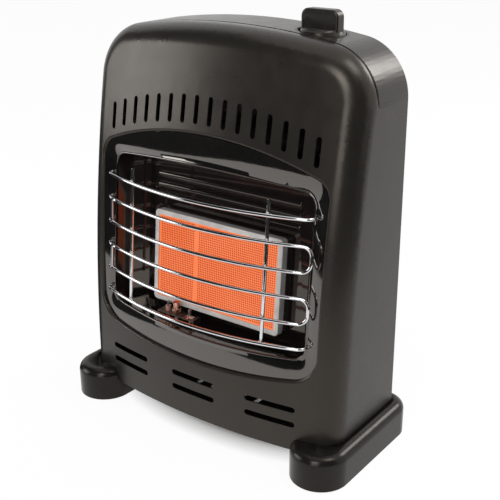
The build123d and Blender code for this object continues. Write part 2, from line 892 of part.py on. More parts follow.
with BuildPart() as burner_gasket:
    with BuildSketch(burner_plane.offset(-tile_back)):
        RectangleRounded(
            plenum_width - 2 * plenum_sheet,
            plenum_length - 2 * plenum_sheet,
            plenum_corner - plenum_sheet,
        )
        Rectangle(field_width, field_length, mode=Mode.SUBTRACT)
    extrude(amount=tile_thickness)
burner_gasket.part.label = "burner_gasket"

large_tile_width = field_width - small_tile_width - tile_joint
with BuildPart() as ceramic_tile_small:
    with BuildSketch(burner_plane.offset(-tile_back)):
        with Locations(((small_tile_width - field_width) / 2, 0)):
            Rectangle(small_tile_width, field_length)
    extrude(amount=tile_thickness)
ceramic_tile_small.part.label = "ceramic_tile_small"

with BuildPart() as ceramic_tile_large:
    with BuildSketch(burner_plane.offset(-tile_back)):
        with Locations(((field_width - large_tile_width) / 2, 0)):
            Rectangle(large_tile_width, field_length)
    extrude(amount=tile_thickness)
ceramic_tile_large.part.label = "ceramic_tile_large"

with BuildPart() as burner_frame:
    with BuildSketch(burner_plane.offset(-frame_skirt)):
        RectangleRounded(frame_width, frame_length, frame_corner)
    extrude(amount=frame_skirt)
    frame_rim = burner_frame.faces().sort_by(Axis(burner_plane.origin, burner_plane.z_dir))[-1].edges()
    fillet(frame_rim, frame_edge_radius)
    with BuildSketch(burner_plane.offset(-frame_skirt)):
        RectangleRounded(frame_width - 2 * frame_sheet, frame_length - 2 * frame_sheet, frame_corner - frame_sheet)
    extrude(amount=frame_skirt - frame_sheet, mode=Mode.SUBTRACT)
    with BuildSketch(burner_plane.offset(-frame_skirt)):
        Rectangle(frame_width - 2 * frame_face, frame_length - 2 * frame_face)
    extrude(amount=2 * frame_skirt, mode=Mode.SUBTRACT)
burner_frame.part.label = "burner_frame"

with BuildPart() as mixing_tube:
    add(mixing_pipe(tube_radius))
    add(tube_bore, mode=Mode.SUBTRACT)
    add(plenum_outer, mode=Mode.SUBTRACT)
mixing_tube.part.label = "mixing_tube"

collar_x = bell_x - collar_inset
with BuildPart() as air_collar:
    with BuildSketch(Plane.YZ.offset(collar_x - collar_length / 2)):
        with Locations((tube_y, tube_height)):
            Circle(tube_radius + collar_gap + collar_sheet)
            Circle(tube_radius + collar_gap, mode=Mode.SUBTRACT)
    extrude(amount=collar_length)
air_collar.part.label = "air_collar"

# ---------------------------------------------------------------- injector
injector_x = bell_x + injector_gap
holder_x = injector_x + injector_length
with BuildPart() as main_injector:
    with BuildSketch(Plane.YZ.offset(injector_x)):
        with Locations((tube_y, tube_height)):
            RegularPolygon(injector_radius, 6)
            Circle(injector_bore, mode=Mode.SUBTRACT)
    extrude(amount=injector_length)
main_injector.part.label = "main_injector"

holder_top = tube_height + holder_height / 2
with BuildPart() as injector_holder:
    with Locations((holder_x + holder_width / 2, tube_y, tube_height)):
        Box(holder_width, holder_depth, holder_height)
    chamfer(injector_holder.edges().filter_by(Axis.Z), holder_edge)
injector_holder.part.label = "injector_holder"

bracket_x = holder_x + holder_width
with BuildPart() as injector_bracket:
    with BuildSketch(Plane.XZ.offset(-tube_y - holder_depth / 2)):
        with BuildLine():
            Polyline(
                (bracket_x, holder_top),
                (bracket_x, pan_top + injector_bracket_sheet),
                (bracket_x - injector_bracket_foot, pan_top + injector_bracket_sheet),
                (bracket_x - injector_bracket_foot, pan_top),
                (bracket_x + injector_bracket_sheet, pan_top),
                (bracket_x + injector_bracket_sheet, holder_top),
                close=True,
            )
        make_face()
    extrude(amount=holder_depth)
injector_bracket.part.label = "injector_bracket"

# ---------------------------------------------------------------- gas valve
valve_low = valve_top - valve_height
bonnet_top = valve_top + bonnet_height
clip_low = sleeve_low - clip_sheet
bore_low = clip_low - press_travel - clip_sheet
with BuildPart() as gas_valve:
    with BuildSketch(Plane.XY.offset(valve_low)):
        with Locations((knob_x, knob_y)):
            RectangleRounded(valve_width, valve_depth, valve_edge)
    extrude(amount=valve_height)
    with BuildSketch(Plane.XY.offset(valve_top)):
        with Locations((knob_x, knob_y)):
            Circle(bonnet_radius)
    extrude(amount=bonnet_height)
    with BuildSketch(Plane.XY.offset(bonnet_top)):
        with Locations((knob_x, knob_y)):
            Circle(sleeve_radius + running_gap)
    extrude(amount=bore_low - bonnet_top, mode=Mode.SUBTRACT)
    with BuildSketch(Plane.XY.offset(bore_low)):
        with Locations((knob_x, knob_y)):
            Circle(spindle_radius + running_gap)
    extrude(amount=spindle_low - press_travel - clip_sheet - bore_low, mode=Mode.SUBTRACT)
gas_valve.part.label = "gas_valve"

bracket_low_x = igniter_x - igniter_radius
bracket_high_x = knob_x + valve_width / 2
with BuildPart() as valve_bracket:
    with BuildSketch(Plane.XY.offset(valve_top)):
        with Locations(((bracket_low_x + bracket_high_x) / 2, (bracket_front_y + back_inner_y) / 2)):
            Rectangle(bracket_high_x - bracket_low_x, back_inner_y - bracket_front_y)
        with Locations((knob_x, knob_y)):
            Circle(bonnet_radius + fit_gap, mode=Mode.SUBTRACT)
    extrude(amount=bracket_sheet)
    with Locations(((bracket_low_x + bracket_high_x) / 2, back_inner_y - bracket_sheet / 2, valve_top)):
        Box(
            bracket_high_x - bracket_low_x,
            bracket_sheet,
            bracket_flange,
            align=(Align.CENTER, Align.CENTER, Align.MAX),
        )
valve_bracket.part.label = "valve_bracket"

sleeve_top = hub_low - spindle_collar
with BuildPart() as spindle_carriage:
    with BuildSketch(Plane.XY.offset(sleeve_low)):
        with Locations((knob_x, knob_y)):
            Circle(sleeve_radius)
            Circle(spindle_radius + running_gap, mode=Mode.SUBTRACT)
    extrude(amount=sleeve_top - sleeve_low)
spindle_carriage.part.label = "spindle_carriage"


def spindle_bar(gap, low, high):
    """The spindle's D-shaped upper end, grown by gap, between two heights."""
    with BuildPart() as body:
        with BuildSketch(Plane.XY.offset(low)):
            with Locations((knob_x, knob_y)):
                Circle(spindle_radius + gap)
            with Locations((knob_x, knob_y + spindle_radius - spindle_flat + gap)):
                Rectangle(4 * spindle_radius, spindle_radius, align=(Align.CENTER, Align.MIN), mode=Mode.SUBTRACT)
        extrude(amount=high - low)
    return body.part


spindle_end = spindle_bar(0, hub_low, spindle_top)
knob_socket = spindle_bar(running_gap, hub_low - spindle_collar, spindle_top + fit_gap)
with BuildPart() as valve_spindle:
    with BuildSketch(Plane.XY.offset(spindle_low)):
        with Locations((knob_x, knob_y)):
            Circle(spindle_radius)
    extrude(amount=hub_low - spindle_low)
    with BuildSketch(Plane.XY.offset(sleeve_top)):
        with Locations((knob_x, knob_y)):
            Circle(spindle_collar_radius)
    extrude(amount=spindle_collar)
    add(spindle_end)
valve_spindle.part.label = "valve_spindle"

with BuildPart() as spindle_clip:
    with BuildSketch(Plane.XY.offset(clip_low)):
        with Locations((knob_x, knob_y)):
            Circle(clip_radius)
            Circle(spindle_radius + running_gap, mode=Mode.SUBTRACT)
    extrude(amount=clip_sheet)
spindle_clip.part.label = "spindle_clip"

# ---------------------------------------------------------------- knob
skirt_shoulder = knob_skirt_low + knob_skirt_band
with BuildPart() as knob_grip:
    with BuildSketch(Plane.XZ.offset(-knob_y - grip_thickness / 2)) as grip_outline:
        with Locations((knob_x, skirt_shoulder)):
            Rectangle(grip_width, knob_top - skirt_shoulder, align=(Align.CENTER, Align.MIN))
        fillet(grip_outline.vertices().group_by(Axis.Y)[-1], grip_corner)
    extrude(amount=grip_thickness)
    grip_sides = knob_grip.faces().filter_by(Axis.Y)
    fillet(grip_sides.edges().filter_by(lambda edge: edge.center().Z > skirt_shoulder), grip_edge)

with BuildPart() as control_knob:
    with BuildSketch(Plane.XZ.offset(-knob_y)):
        with BuildLine():
            Polyline(
                (knob_x, knob_skirt_low),
                (knob_x + knob_skirt_radius, knob_skirt_low),
                (knob_x + knob_skirt_radius, skirt_shoulder),
                (knob_x + knob_neck_radius, knob_skirt_high),
                (knob_x, knob_skirt_high),
                close=True,
            )
        make_face()
    revolve(axis=Axis((knob_x, knob_y, 0), (0, 0, 1)))
    add(knob_grip.part)
    with BuildSketch(Plane.XY.offset(knob_skirt_low)):
        with Locations((knob_x, knob_y)):
            Circle(knob_neck_radius - knob_wall)
            Circle(hub_radius, mode=Mode.SUBTRACT)
    extrude(amount=knob_skirt_high - knob_wall - knob_skirt_low, mode=Mode.SUBTRACT)
    with BuildSketch(Plane.XY.offset(hub_low)):
        with Locations((knob_x, knob_y)):
            Circle(hub_radius)
    extrude(amount=knob_skirt_high - knob_wall - hub_low)
    add(knob_socket, mode=Mode.SUBTRACT)
control_knob.part.label = "control_knob"

well_floor = knob_skirt_low - press_travel - well_gap
casing_top = loaf(0)
with BuildPart() as knob_well:
    with BuildSketch(Plane.XY.offset(well_floor - well_sheet)):
        with Locations((knob_x, knob_y)):
            Circle(knob_hole_radius - fit_gap)
    extrude(amount=body_height - well_floor)
    with BuildSketch(Plane.XY.offset(well_floor)):
        with Locations((knob_x, knob_y)):
            Circle(knob_hole_radius - fit_gap - well_sheet)
    extrude(amount=far, mode=Mode.SUBTRACT)
    with BuildSketch(Plane.XY):
        with Locations((knob_x, knob_y)):
            Circle(sleeve_radius + well_hole_gap)
    extrude(amount=far, mode=Mode.SUBTRACT)
    add(casing_top, mode=Mode.INTERSECT)
knob_well.part.label = "knob_well"

# ---------------------------------------------------------------- igniter, switch, regulator, inlet
igniter_low = valve_top - igniter_length
with BuildPart() as piezo_igniter:
    with BuildSketch(Plane.XY.offset(igniter_low + igniter_cap)):
        with Locations((igniter_x, knob_y)):
            Circle(igniter_radius)
    extrude(amount=igniter_length - igniter_cap)
    with BuildSketch(Plane.XY.offset(igniter_low)):
        with Locations((igniter_x, knob_y)):
            Circle(igniter_cap_radius)
    extrude(amount=igniter_cap)
piezo_igniter.part.label = "piezo_igniter"

switch_top = pan_top + switch_height
with BuildPart() as tip_over_switch:
    with BuildSketch(Plane.XY.offset(pan_top)):
        with Locations((switch_x, switch_y)):
            Circle(switch_flange_radius)
    extrude(amount=switch_flange)
    with BuildSketch(Plane.XY.offset(pan_top)):
        with Locations((switch_x, switch_y)):
            Circle(switch_radius)
    extrude(amount=switch_height)
    fillet(tip_over_switch.faces().sort_by(Axis.Z)[-1].edges(), switch_flange)
tip_over_switch.part.label = "tip_over_switch"

regulator_back = regulator_y + regulator_depth
rim_front = regulator_y + regulator_cap + regulator_rim
with BuildPart() as regulator:
    with BuildSketch(Plane.XY.offset(inlet_height)):
        with BuildLine():
            Polyline(
                (inlet_x, regulator_y),
                (inlet_x + regulator_cap_radius, regulator_y),
                (inlet_x + regulator_cap_radius, regulator_y + regulator_cap),
                (inlet_x + regulator_radius, rim_front),
                (inlet_x + regulator_radius, rim_front + regulator_rim),
                (inlet_x + regulator_neck_radius, regulator_back - regulator_neck),
                (inlet_x + regulator_neck_radius, regulator_back),
                (inlet_x, regulator_back),
                close=True,
            )
        make_face()
    revolve(axis=Axis((inlet_x, 0, inlet_height), (0, 1, 0)))
regulator.part.label = "regulator"

inlet_shoulder = rear_y + inlet_nut_thickness + inlet_step
inlet_end = inlet_shoulder + inlet_thread_length
with BuildPart() as gas_inlet_fitting:
    with BuildSketch(Plane.XZ.offset(-inlet_shoulder)):
        with Locations((inlet_x, inlet_height)):
            Circle(inlet_body_radius)
    extrude(amount=inlet_shoulder - regulator_back)
    with BuildSketch(Plane.XZ.offset(-inlet_end)):
        with Locations((inlet_x, inlet_height)):
            Circle(inlet_thread_radius)
    extrude(amount=inlet_thread_length)
    chamfer(gas_inlet_fitting.faces().sort_by(Axis.Y)[-1].edges(), inlet_cone)
    with BuildSketch(Plane.XZ.offset(-inlet_end)):
        with Locations((inlet_x, inlet_height)):
            Circle(inlet_bore_radius)
    extrude(amount=inlet_bore_depth, mode=Mode.SUBTRACT)
gas_inlet_fitting.part.label = "gas_inlet_fitting"

with BuildPart() as inlet_nut:
    with BuildSketch(Plane.XZ.offset(-rear_y - inlet_nut_thickness)):
        with Locations((inlet_x, inlet_height)):
            RegularPolygon(inlet_nut_hex / 2, 6, major_radius=False)
            Circle(inlet_body_radius + running_gap, mode=Mode.SUBTRACT)
    extrude(amount=inlet_nut_thickness)
inlet_nut.part.label = "inlet_nut"

# ---------------------------------------------------------------- pilot
shelf_top = pilot_shelf_height + pilot_shelf_sheet
shelf_low_x = spark_x - pilot_shelf_margin
shelf_high_x = sensor_x + pilot_shelf_margin
shelf_front = pilot_y - pilot_shelf_depth / 2
shelf_rear = pilot_y + pilot_shelf_depth / 2
shelf_legs = clipped(
    without(
        block((shelf_low_x, shelf_front, 0), (shelf_high_x, shelf_rear, shelf_top)),
        block(
            (shelf_low_x + pilot_shelf_sheet, -far, 0),
            (shelf_high_x - pilot_shelf_sheet, far, pilot_shelf_height),
        ),
    ),
    profile_inner,
)
with BuildPart() as pilot_bracket:
    add(shelf_legs)
pilot_bracket.part.label = "pilot_bracket"

hex_top = shelf_top + pilot_hex_height
hood_top = hex_top + pilot_hood_height
with BuildPart() as pilot_burner:
    with BuildSketch(Plane.XY.offset(shelf_top)):
        with Locations((pilot_x, pilot_y)):
            RegularPolygon(pilot_hex / 2, 6, major_radius=False)
    extrude(amount=pilot_hex_height)
    with BuildSketch(Plane.XY.offset(hex_top)):
        with Locations((pilot_x, pilot_y)):
            Circle(pilot_hood_radius)
    extrude(amount=pilot_hood_height)
    with BuildSketch(Plane.XZ.offset(-pilot_y)):
        with Locations((pilot_x, hood_top - pilot_hood_height / 3)):
            Circle(pilot_port)
    extrude(amount=-pilot_hood_radius, mode=Mode.SUBTRACT)
pilot_burner.part.label = "pilot_burner"

with BuildPart() as thermocouple_tip:
    with BuildSketch(Plane.XY.offset(shelf_top)):
        with Locations((sensor_x, pilot_y)):
            Circle(sensor_radius)
    extrude(amount=sensor_height)
    fillet(thermocouple_tip.faces().sort_by(Axis.Z)[-1].edges(), sensor_radius / 2)
thermocouple_tip.part.label = "thermocouple_tip"

insulator_top = shelf_top + insulator_height
with BuildPart() as electrode_insulator:
    with BuildSketch(Plane.XY.offset(shelf_top)):
        with Locations((spark_x, pilot_y)):
            Circle(insulator_radius)
    extrude(amount=insulator_height)
electrode_insulator.part.label = "electrode_insulator"

with BuildPart() as electrode_rod:
    with BuildSketch(Plane.XY.offset(insulator_top)):
        with Locations((spark_x, pilot_y)):
            Circle(spark_radius)
    extrude(amount=spark_height)
    with Locations(Location((spark_x, pilot_y, insulator_top + spark_height), (0, 90, 0))):
        Cylinder(spark_radius, spark_height, align=(Align.CENTER, Align.CENTER, Align.MIN))
electrode_rod.part.label = "electrode_rod"

# ---------------------------------------------------------------- pipes and leads
holder_middle = holder_x + holder_width / 2
valve_side = knob_x + valve_width / 2
valve_port = valve_low + valve_height / 2
supply_x = knob_x + valve_width / 6
regulator_top = inlet_height + regulator_radius
pilot_port_x = knob_x - valve_width / 3
lead_port_x = knob_x - valve_width / 8

burner_pipe_route = [
    (valve_side, knob_y, valve_port),
    (holder_middle, knob_y, valve_port),
    (holder_middle, knob_y, rear_shield_low),
    (holder_middle, tube_y, holder_top + holder_height),
    (holder_middle, tube_y, holder_top),
]
supply_route = [
    (inlet_x, rim_front + regulator_rim / 2, regulator_top),
    (inlet_x, rim_front + regulator_rim / 2, tube_height + regulator_radius),
    (supply_x, knob_y, rear_shield_low + regulator_radius),
    (supply_x, knob_y, valve_low),
]
pilot_line_y = knob_y + pilot_port_y
lead_line_y = knob_y + lead_port_y
terminal = (switch_x - terminal_x, switch_y + terminal_y)
pilot_route = [
    (pilot_x, pilot_y, pilot_shelf_height),
    (pilot_x, pilot_y, pilot_shelf_height - pilot_pipe_drop),
    *pilot_pipe_run,
    (pilot_port_x, pilot_line_y, inlet_height + pilot_pipe_climb),
    (pilot_port_x, pilot_line_y, valve_low),
]
igniter_route = [
    (spark_x, pilot_y, pilot_shelf_height),
    (spark_x, pilot_y, pilot_shelf_height - igniter_lead_drop),
    *igniter_lead_run,
    (igniter_x, knob_y, inlet_height + igniter_lead_climb),
    (igniter_x, knob_y, igniter_low),
]
sensor_route = [
    (sensor_x, pilot_y, pilot_shelf_height),
    (sensor_x, pilot_y, pilot_shelf_height - sensor_lead_drop),
    *sensor_lead_run,
    (switch_x, switch_y, switch_top + sensor_lead_rise),
    (switch_x, switch_y, switch_top),
]
switch_route = [
    (*terminal, switch_top),
    (*terminal, switch_top + switch_lead_rise),
    *switch_lead_run,
    (lead_port_x, lead_line_y, valve_low - switch_lead_climb),
    (lead_port_x, lead_line_y, valve_low),
]

with BuildPart() as burner_pipe:
    add(pipe(burner_pipe_route, pipe_radius))
burner_pipe.part.label = "burner_pipe"

with BuildPart() as supply_pipe:
    add(pipe(supply_route, pipe_radius))
supply_pipe.part.label = "supply_pipe"

with BuildPart() as pilot_pipe:
    add(pipe(pilot_route, pilot_pipe_radius))
pilot_pipe.part.label = "pilot_pipe"

with BuildPart() as igniter_lead:
    add(pipe(igniter_route, lead_radius))
igniter_lead.part.label = "igniter_lead"

with BuildPart() as thermocouple_lead:
    add(pipe(sensor_route, lead_radius))
thermocouple_lead.part.label = "thermocouple_lead"

with BuildPart() as switch_lead:
    add(pipe(switch_route, lead_radius))
switch_lead.part.label = "switch_lead"

# ---------------------------------------------------------------- heat shields
shield_half = half_width - sheet
with BuildPart() as rear_heat_shield:
    with BuildSketch(Plane.XY.offset(rear_shield_low)):
        with BuildLine():
            Polyline(
                (-shield_half, rear_shield_y),
                (shield_half, rear_shield_y),
                (shield_half, rear_shield_y + rear_shield_flange),
                (shield_half - shield_sheet, rear_shield_y + rear_shield_flange),
                (shield_half - shield_sheet, rear_shield_y + shield_sheet),
                (shield_sheet - shield_half, rear_shield_y + shield_sheet),
                (shield_sheet - shield_half, rear_shield_y + rear_shield_flange),
                (-shield_half, rear_shield_y + rear_shield_flange),
                close=True,
            )
        make_face()
    extrude(amount=rear_shield_high - rear_shield_low)
rear_heat_shield.part.label = "rear_heat_shield"

with BuildPart() as top_heat_shield:
    with BuildSketch(Plane.XY.offset(rear_shield_high)):
        with Locations((0, top_shield_front_y)):
            Rectangle(
                top_shield_width,
                rear_shield_y + shield_sheet - top_shield_front_y,
                align=(Align.CENTER, Align.MIN),
            )
    extrude(amount=shield_sheet)
top_heat_shield.part.label = "top_heat_shield"


# ---------------------------------------------------------------- guard
def guard_nose(height):
    """Y of the middle of a wire at a height."""
    return guard_lean * (height - guard_low_height) - guard_reach


def guard_y(x, height):
    """Y of a wire's bulge arc at a distance from the middle."""
    return guard_nose(height) + guard_radius - sqrt(guard_radius**2 - x**2)


def bezel_y(height):
    """Y of the bezel's front at the guard tails."""
    lean = lean_radius - sqrt(lean_radius**2 - (height - base_height) ** 2)
    bow = plan_radius - sqrt(plan_radius**2 - guard_tail_x**2)
    return bezel_setback - front_reach + lean + bow


def swept_wire(path):
    """Round wire along a path."""
    with BuildPart() as body:
        with BuildSketch(Plane(origin=path @ 0, z_dir=path % 0)):
            Circle(wire_radius)
        sweep(path=path)
    return body.part


def corner_start():
    """Distance from the middle where a tail's corner leaves the bulge arc."""
    span = guard_tail_x - guard_tail_corner
    reach = guard_radius - guard_tail_corner
    return guard_radius * span / reach


def tail(height):
    """Points of a left end: where it stops, where its bend starts and where that meets the bulge arc."""
    start_x = corner_start()
    centre_x = guard_tail_x - guard_tail_corner
    centre_y = guard_nose(height) + guard_radius - sqrt((guard_radius - guard_tail_corner) ** 2 - centre_x**2)
    end_y = bezel_y(height) + bezel_sheet + guard_tail_depth
    return (
        (-guard_tail_x, end_y, height),
        (-guard_tail_x, centre_y, height),
        (-start_x, guard_y(start_x, height), height),
    )


def single_wire(height):
    """A bulged wire whose two ends turn back through the bezel."""
    left = tail(height)
    right = [(-x, y, z) for x, y, z in left]
    with BuildLine() as route:
        Line(left[0], left[1])
        TangentArc(left[1], left[2], tangent=(0, -1, 0))
        ThreePointArc(left[2], (0, guard_nose(height), height), right[2])
        TangentArc(right[1], right[2], tangent=(0, -1, 0))
        Line(right[1], right[0])
    return swept_wire(route.wires()[0])


def hairpin(low):
    """Two bulged wires joined by a leaning bend on the right, their left ends turned back through the bezel."""
    high = low + guard_pitch
    upper = tail(high)
    lower = tail(low)
    slope = hairpin_x / guard_radius
    onward = Vector(sqrt(1 - slope**2), slope, 0) * hairpin_corner
    upward = Vector(0, guard_lean, 1).normalized() * hairpin_corner
    upper_leave = Vector(hairpin_x, guard_y(hairpin_x, high), high)
    lower_leave = Vector(hairpin_x, guard_y(hairpin_x, low), low)
    upper_turn = upper_leave + onward - upward
    lower_turn = lower_leave + onward + upward
    with BuildLine() as route:
        Line(upper[0], upper[1])
        TangentArc(upper[1], upper[2], tangent=(0, -1, 0))
        ThreePointArc(upper[2], (0, guard_nose(high), high), upper_leave)
        Bezier(upper_leave, upper_leave + onward * bend_handle, upper_turn + upward * bend_handle, upper_turn)
        Line(upper_turn, lower_turn)
        Bezier(lower_turn, lower_turn - upward * bend_handle, lower_leave + onward * bend_handle, lower_leave)
        ThreePointArc(lower_leave, (0, guard_nose(low), low), lower[2])
        TangentArc(lower[1], lower[2], tangent=(0, -1, 0))
        Line(lower[1], lower[0])
    return swept_wire(route.wires()[0])


def guard_rod(x, low, high, seat):
    """Upright rod whose middle lies behind the middle of the wires by seat."""
    ends = [(x, guard_y(x, height) + seat, height) for height in (low, high)]
    return rod(ends[0], ends[1], wire_radius)


with BuildPart() as guard_low_wire:
    add(single_wire(guard_low_height))
guard_low_wire.part.label = "guard_low_wire"

with BuildPart() as guard_high_wire:
    add(single_wire(guard_high_height))
guard_high_wire.part.label = "guard_high_wire"

guard_loops = []
for name, height in zip(("guard_low_loop", "guard_high_loop"), hairpin_heights):
    with BuildPart() as guard_loop:
        add(hairpin(height))
        add(guard_rod(link_x, height, height + guard_pitch, 0))
    guard_loop.part.label = name
    guard_loops.append(guard_loop)

with BuildPart() as guard_rods:
    for side in (-1, 1):
        add(guard_rod(side * rod_x, guard_low_height - rod_start, guard_high_height + rod_rise, rod_seat))
guard_rods.part.label = "guard_rods"


# ---------------------------------------------------------------- feet
def foot_outline(height, inset=0.0):
    """Right foot seen from above: round nose, rounded rear corners."""
    side = foot_width / 2 - inset
    end = foot_length / 2 - inset
    with BuildSketch(Plane.XY.offset(height)) as outline:
        with BuildLine():
            ThreePointArc((foot_x - side, side - end), (foot_x, -end), (foot_x + side, side - end))
            Polyline(
                (foot_x + side, side - end),
                (foot_x + side, end),
                (foot_x - side, end),
                (foot_x - side, side - end),
            )
        make_face()
        fillet(outline.vertices().group_by(Axis.Y)[-1], foot_rear_corner - inset)
    return outline.sketch


pad_y = foot_length / 2 - pad_inset
pad_spots = [(foot_x, -pad_y), (foot_x, pad_y)]
casing_pocket = without(
    pillow(-fit_gap),
    block((-far, rear_y + fit_gap, 0), (far, 2 * far, 2 * far)),
)
foot_shell = foot_outline(pad_stand)
foot_hollow = foot_outline(pad_stand, foot_wall)

with BuildPart() as right_foot:
    extrude(foot_shell, amount=foot_height - pad_stand)
    fillet(right_foot.faces().sort_by(Axis.Z)[-1].edges(), foot_edge_radius)
    add(casing_pocket, mode=Mode.SUBTRACT)
    extrude(foot_hollow, amount=pocket_floor - pad_stand, mode=Mode.SUBTRACT)
    with BuildSketch(Plane.XY.offset(pad_stand)):
        with Locations(*pad_spots):
            Circle(pad_radius + socket_gap + foot_wall)
    extrude(amount=pocket_floor - pad_stand)
    with BuildSketch(Plane.XY.offset(pad_stand)):
        with Locations(*pad_spots):
            Circle(pad_radius + socket_gap)
    extrude(amount=pad_thickness - pad_stand, mode=Mode.SUBTRACT)
    with BuildSketch(Plane.XY):
        with Locations((screw_x, -foot_screw_y), (screw_x, foot_screw_y)):
            Circle(screw_radius + fit_gap)
    extrude(amount=foot_height, mode=Mode.SUBTRACT)
right_foot.part.label = "right_foot"

with BuildPart() as left_foot:
    add(mirror(right_foot.part, about=Plane.YZ, mode=Mode.PRIVATE))
left_foot.part.label = "left_foot"

with BuildPart() as foot_pads:
    with BuildSketch(Plane.XY):
        with Locations(*[(side * x, y) for side in (-1, 1) for x, y in pad_spots]):
            Circle(pad_radius)
    extrude(amount=pad_thickness)
foot_pads.part.label = "foot_pads"

foot_screw_spots = [(side * screw_x, y) for side in (-1, 1) for y in (-foot_screw_y, foot_screw_y)]
with BuildPart() as foot_screws:
    with BuildSketch(Plane.XY.offset(pocket_floor - screw_head_height)):
        with Locations(*foot_screw_spots):
            Circle(screw_head_radius)
    extrude(amount=screw_head_height)
    with BuildSketch(Plane.XY.offset(pocket_floor)):
        with Locations(*foot_screw_spots):
            Circle(screw_radius)
    extrude(amount=screw_length)
foot_screws.part.label = "foot_screws"

# ---------------------------------------------------------------- base pan
pan_inset = return_width + fit_gap
pan_rim_layer = block((-far, -far, floor_height), (far, back_inner_y - fit_gap, floor_height + pan_rim))
pan_shape = pillow(pan_inset)
pan_hollow = without(
    pillow(pan_inset + pan_sheet),
    block((-far, -far, 0), (far, far, pan_top)),
    block((-far, back_inner_y - fit_gap - pan_sheet, 0), (far, 2 * far, 2 * far)),
)
with BuildPart() as base_pan:
    add(pan_shape)
    add(pan_rim_layer, mode=Mode.INTERSECT)
    add(pan_hollow, mode=Mode.SUBTRACT)
    with BuildSketch(Plane.XY):
        with GridLocations(pan_slot_pitch, 1, pan_slot_count, 1):
            SlotOverall(pan_slot_length, pan_slot_width, rotation=90)
    extrude(amount=far, mode=Mode.SUBTRACT)
    with BuildSketch(Plane.XY):
        with Locations(*foot_screw_spots):
            Circle(screw_radius + fit_gap)
    extrude(amount=far, mode=Mode.SUBTRACT)
base_pan.part.label = "base_pan"

# ---------------------------------------------------------------- back panel
louvre_spots = [
    ((column - (louvre_columns - 1) / 2) * louvre_pitch_x, louvre_low_height + row * louvre_pitch_z)
    for column in range(louvre_columns)
    for row in range(louvre_rows)
]


def louvre(x, low):
    """A pressed louvre that stands out of the back and opens downwards."""
    shape = [(rear_y - back_sheet, low + louvre_height), (rear_y, low + louvre_height), (rear_y + louvre_rise, low)]
    with BuildPart() as body:
        with BuildSketch(Plane.YZ.offset(x - louvre_length / 2)):
            with BuildLine():
                Polyline(*shape, (rear_y - back_sheet, low), close=True)
            make_face()
        extrude(amount=louvre_length)
        with BuildSketch(Plane.YZ.offset(x - louvre_length / 2 + back_sheet)):
            with BuildLine():
                Polyline(
                    (rear_y - back_sheet, low + louvre_height - back_sheet),
                    (rear_y + louvre_rise - back_sheet, low),
                    (rear_y - back_sheet, low),
                    close=True,
                )
            make_face()
        extrude(amount=louvre_length - 2 * back_sheet, mode=Mode.SUBTRACT)
    return body.part


with BuildPart() as back_panel:
    add(loaf(sheet + fit_gap))
    add(block((-far, back_inner_y, 0), (far, rear_y, far)), mode=Mode.INTERSECT)
    for x, low in louvre_spots:
        with BuildSketch(Plane.XZ.offset(-rear_y)):
            with Locations((x, low + louvre_height / 2)):
                Rectangle(louvre_length, louvre_height)
        extrude(amount=back_sheet, mode=Mode.SUBTRACT)
    for x, low in louvre_spots:
        add(louvre(x, low))
    with BuildSketch(Plane.XZ.offset(-rear_y)):
        with Locations((inlet_x, inlet_height)):
            Circle(inlet_body_radius + fit_gap)
        with Locations(*back_screw_spots):
            Circle(screw_radius + fit_gap)
    extrude(amount=back_sheet, mode=Mode.SUBTRACT)
back_panel.part.label = "back_panel"

with BuildPart() as back_panel_screws:
    with BuildSketch(Plane.XZ.offset(-rear_y)):
        with Locations(*back_screw_spots):
            Circle(screw_head_radius)
    extrude(amount=-screw_head_height)
    with BuildSketch(Plane.XZ.offset(-rear_y)):
        with Locations(*back_screw_spots):
            Circle(screw_radius)
    extrude(amount=screw_length)
back_panel_screws.part.label = "back_panel_screws"

# ---------------------------------------------------------------- files
os.makedirs("parts", exist_ok=True)
pieces = [
    front_panel, casing_wrap, window_bezel,
    firebox_top, firebox_floor, firebox_left_side, firebox_right_side, firebox_back_plate,
    burner_body, burner_gasket, ceramic_tile_small, ceramic_tile_large, burner_frame,
    mixing_tube, air_collar, main_injector, injector_holder, injector_bracket,
    gas_valve, valve_bracket, spindle_carriage, valve_spindle, spindle_clip,
    control_knob, knob_well, piezo_igniter, tip_over_switch, regulator, gas_inlet_fitting, inlet_nut,
    pilot_bracket, pilot_burner, thermocouple_tip, electrode_insulator, electrode_rod,
    burner_pipe, supply_pipe, pilot_pipe, igniter_lead, thermocouple_lead, switch_lead,
    rear_heat_shield, top_heat_shield, guard_low_wire, guard_high_wire, *guard_loops, guard_rods,
    right_foot, left_foot, foot_pads, foot_screws, base_pan, back_panel, back_panel_screws,
]
for piece in pieces:
    export_step(piece.part, f"parts/{piece.part.label}.step")
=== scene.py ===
"""Dressed model of a portable radiant propane heater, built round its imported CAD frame.

Everything is in metres in the frame of the CAD model: +Z is up, -Y is the front, and the origin lies on
the ground in the middle of the four rubber pads.
"""

import json
import logging
import math
from dataclasses import dataclass, field
from enum import Enum
from itertools import product

import bmesh
import bpy
from mathutils import Matrix, Vector
from mathutils.bvhtree import BVHTree


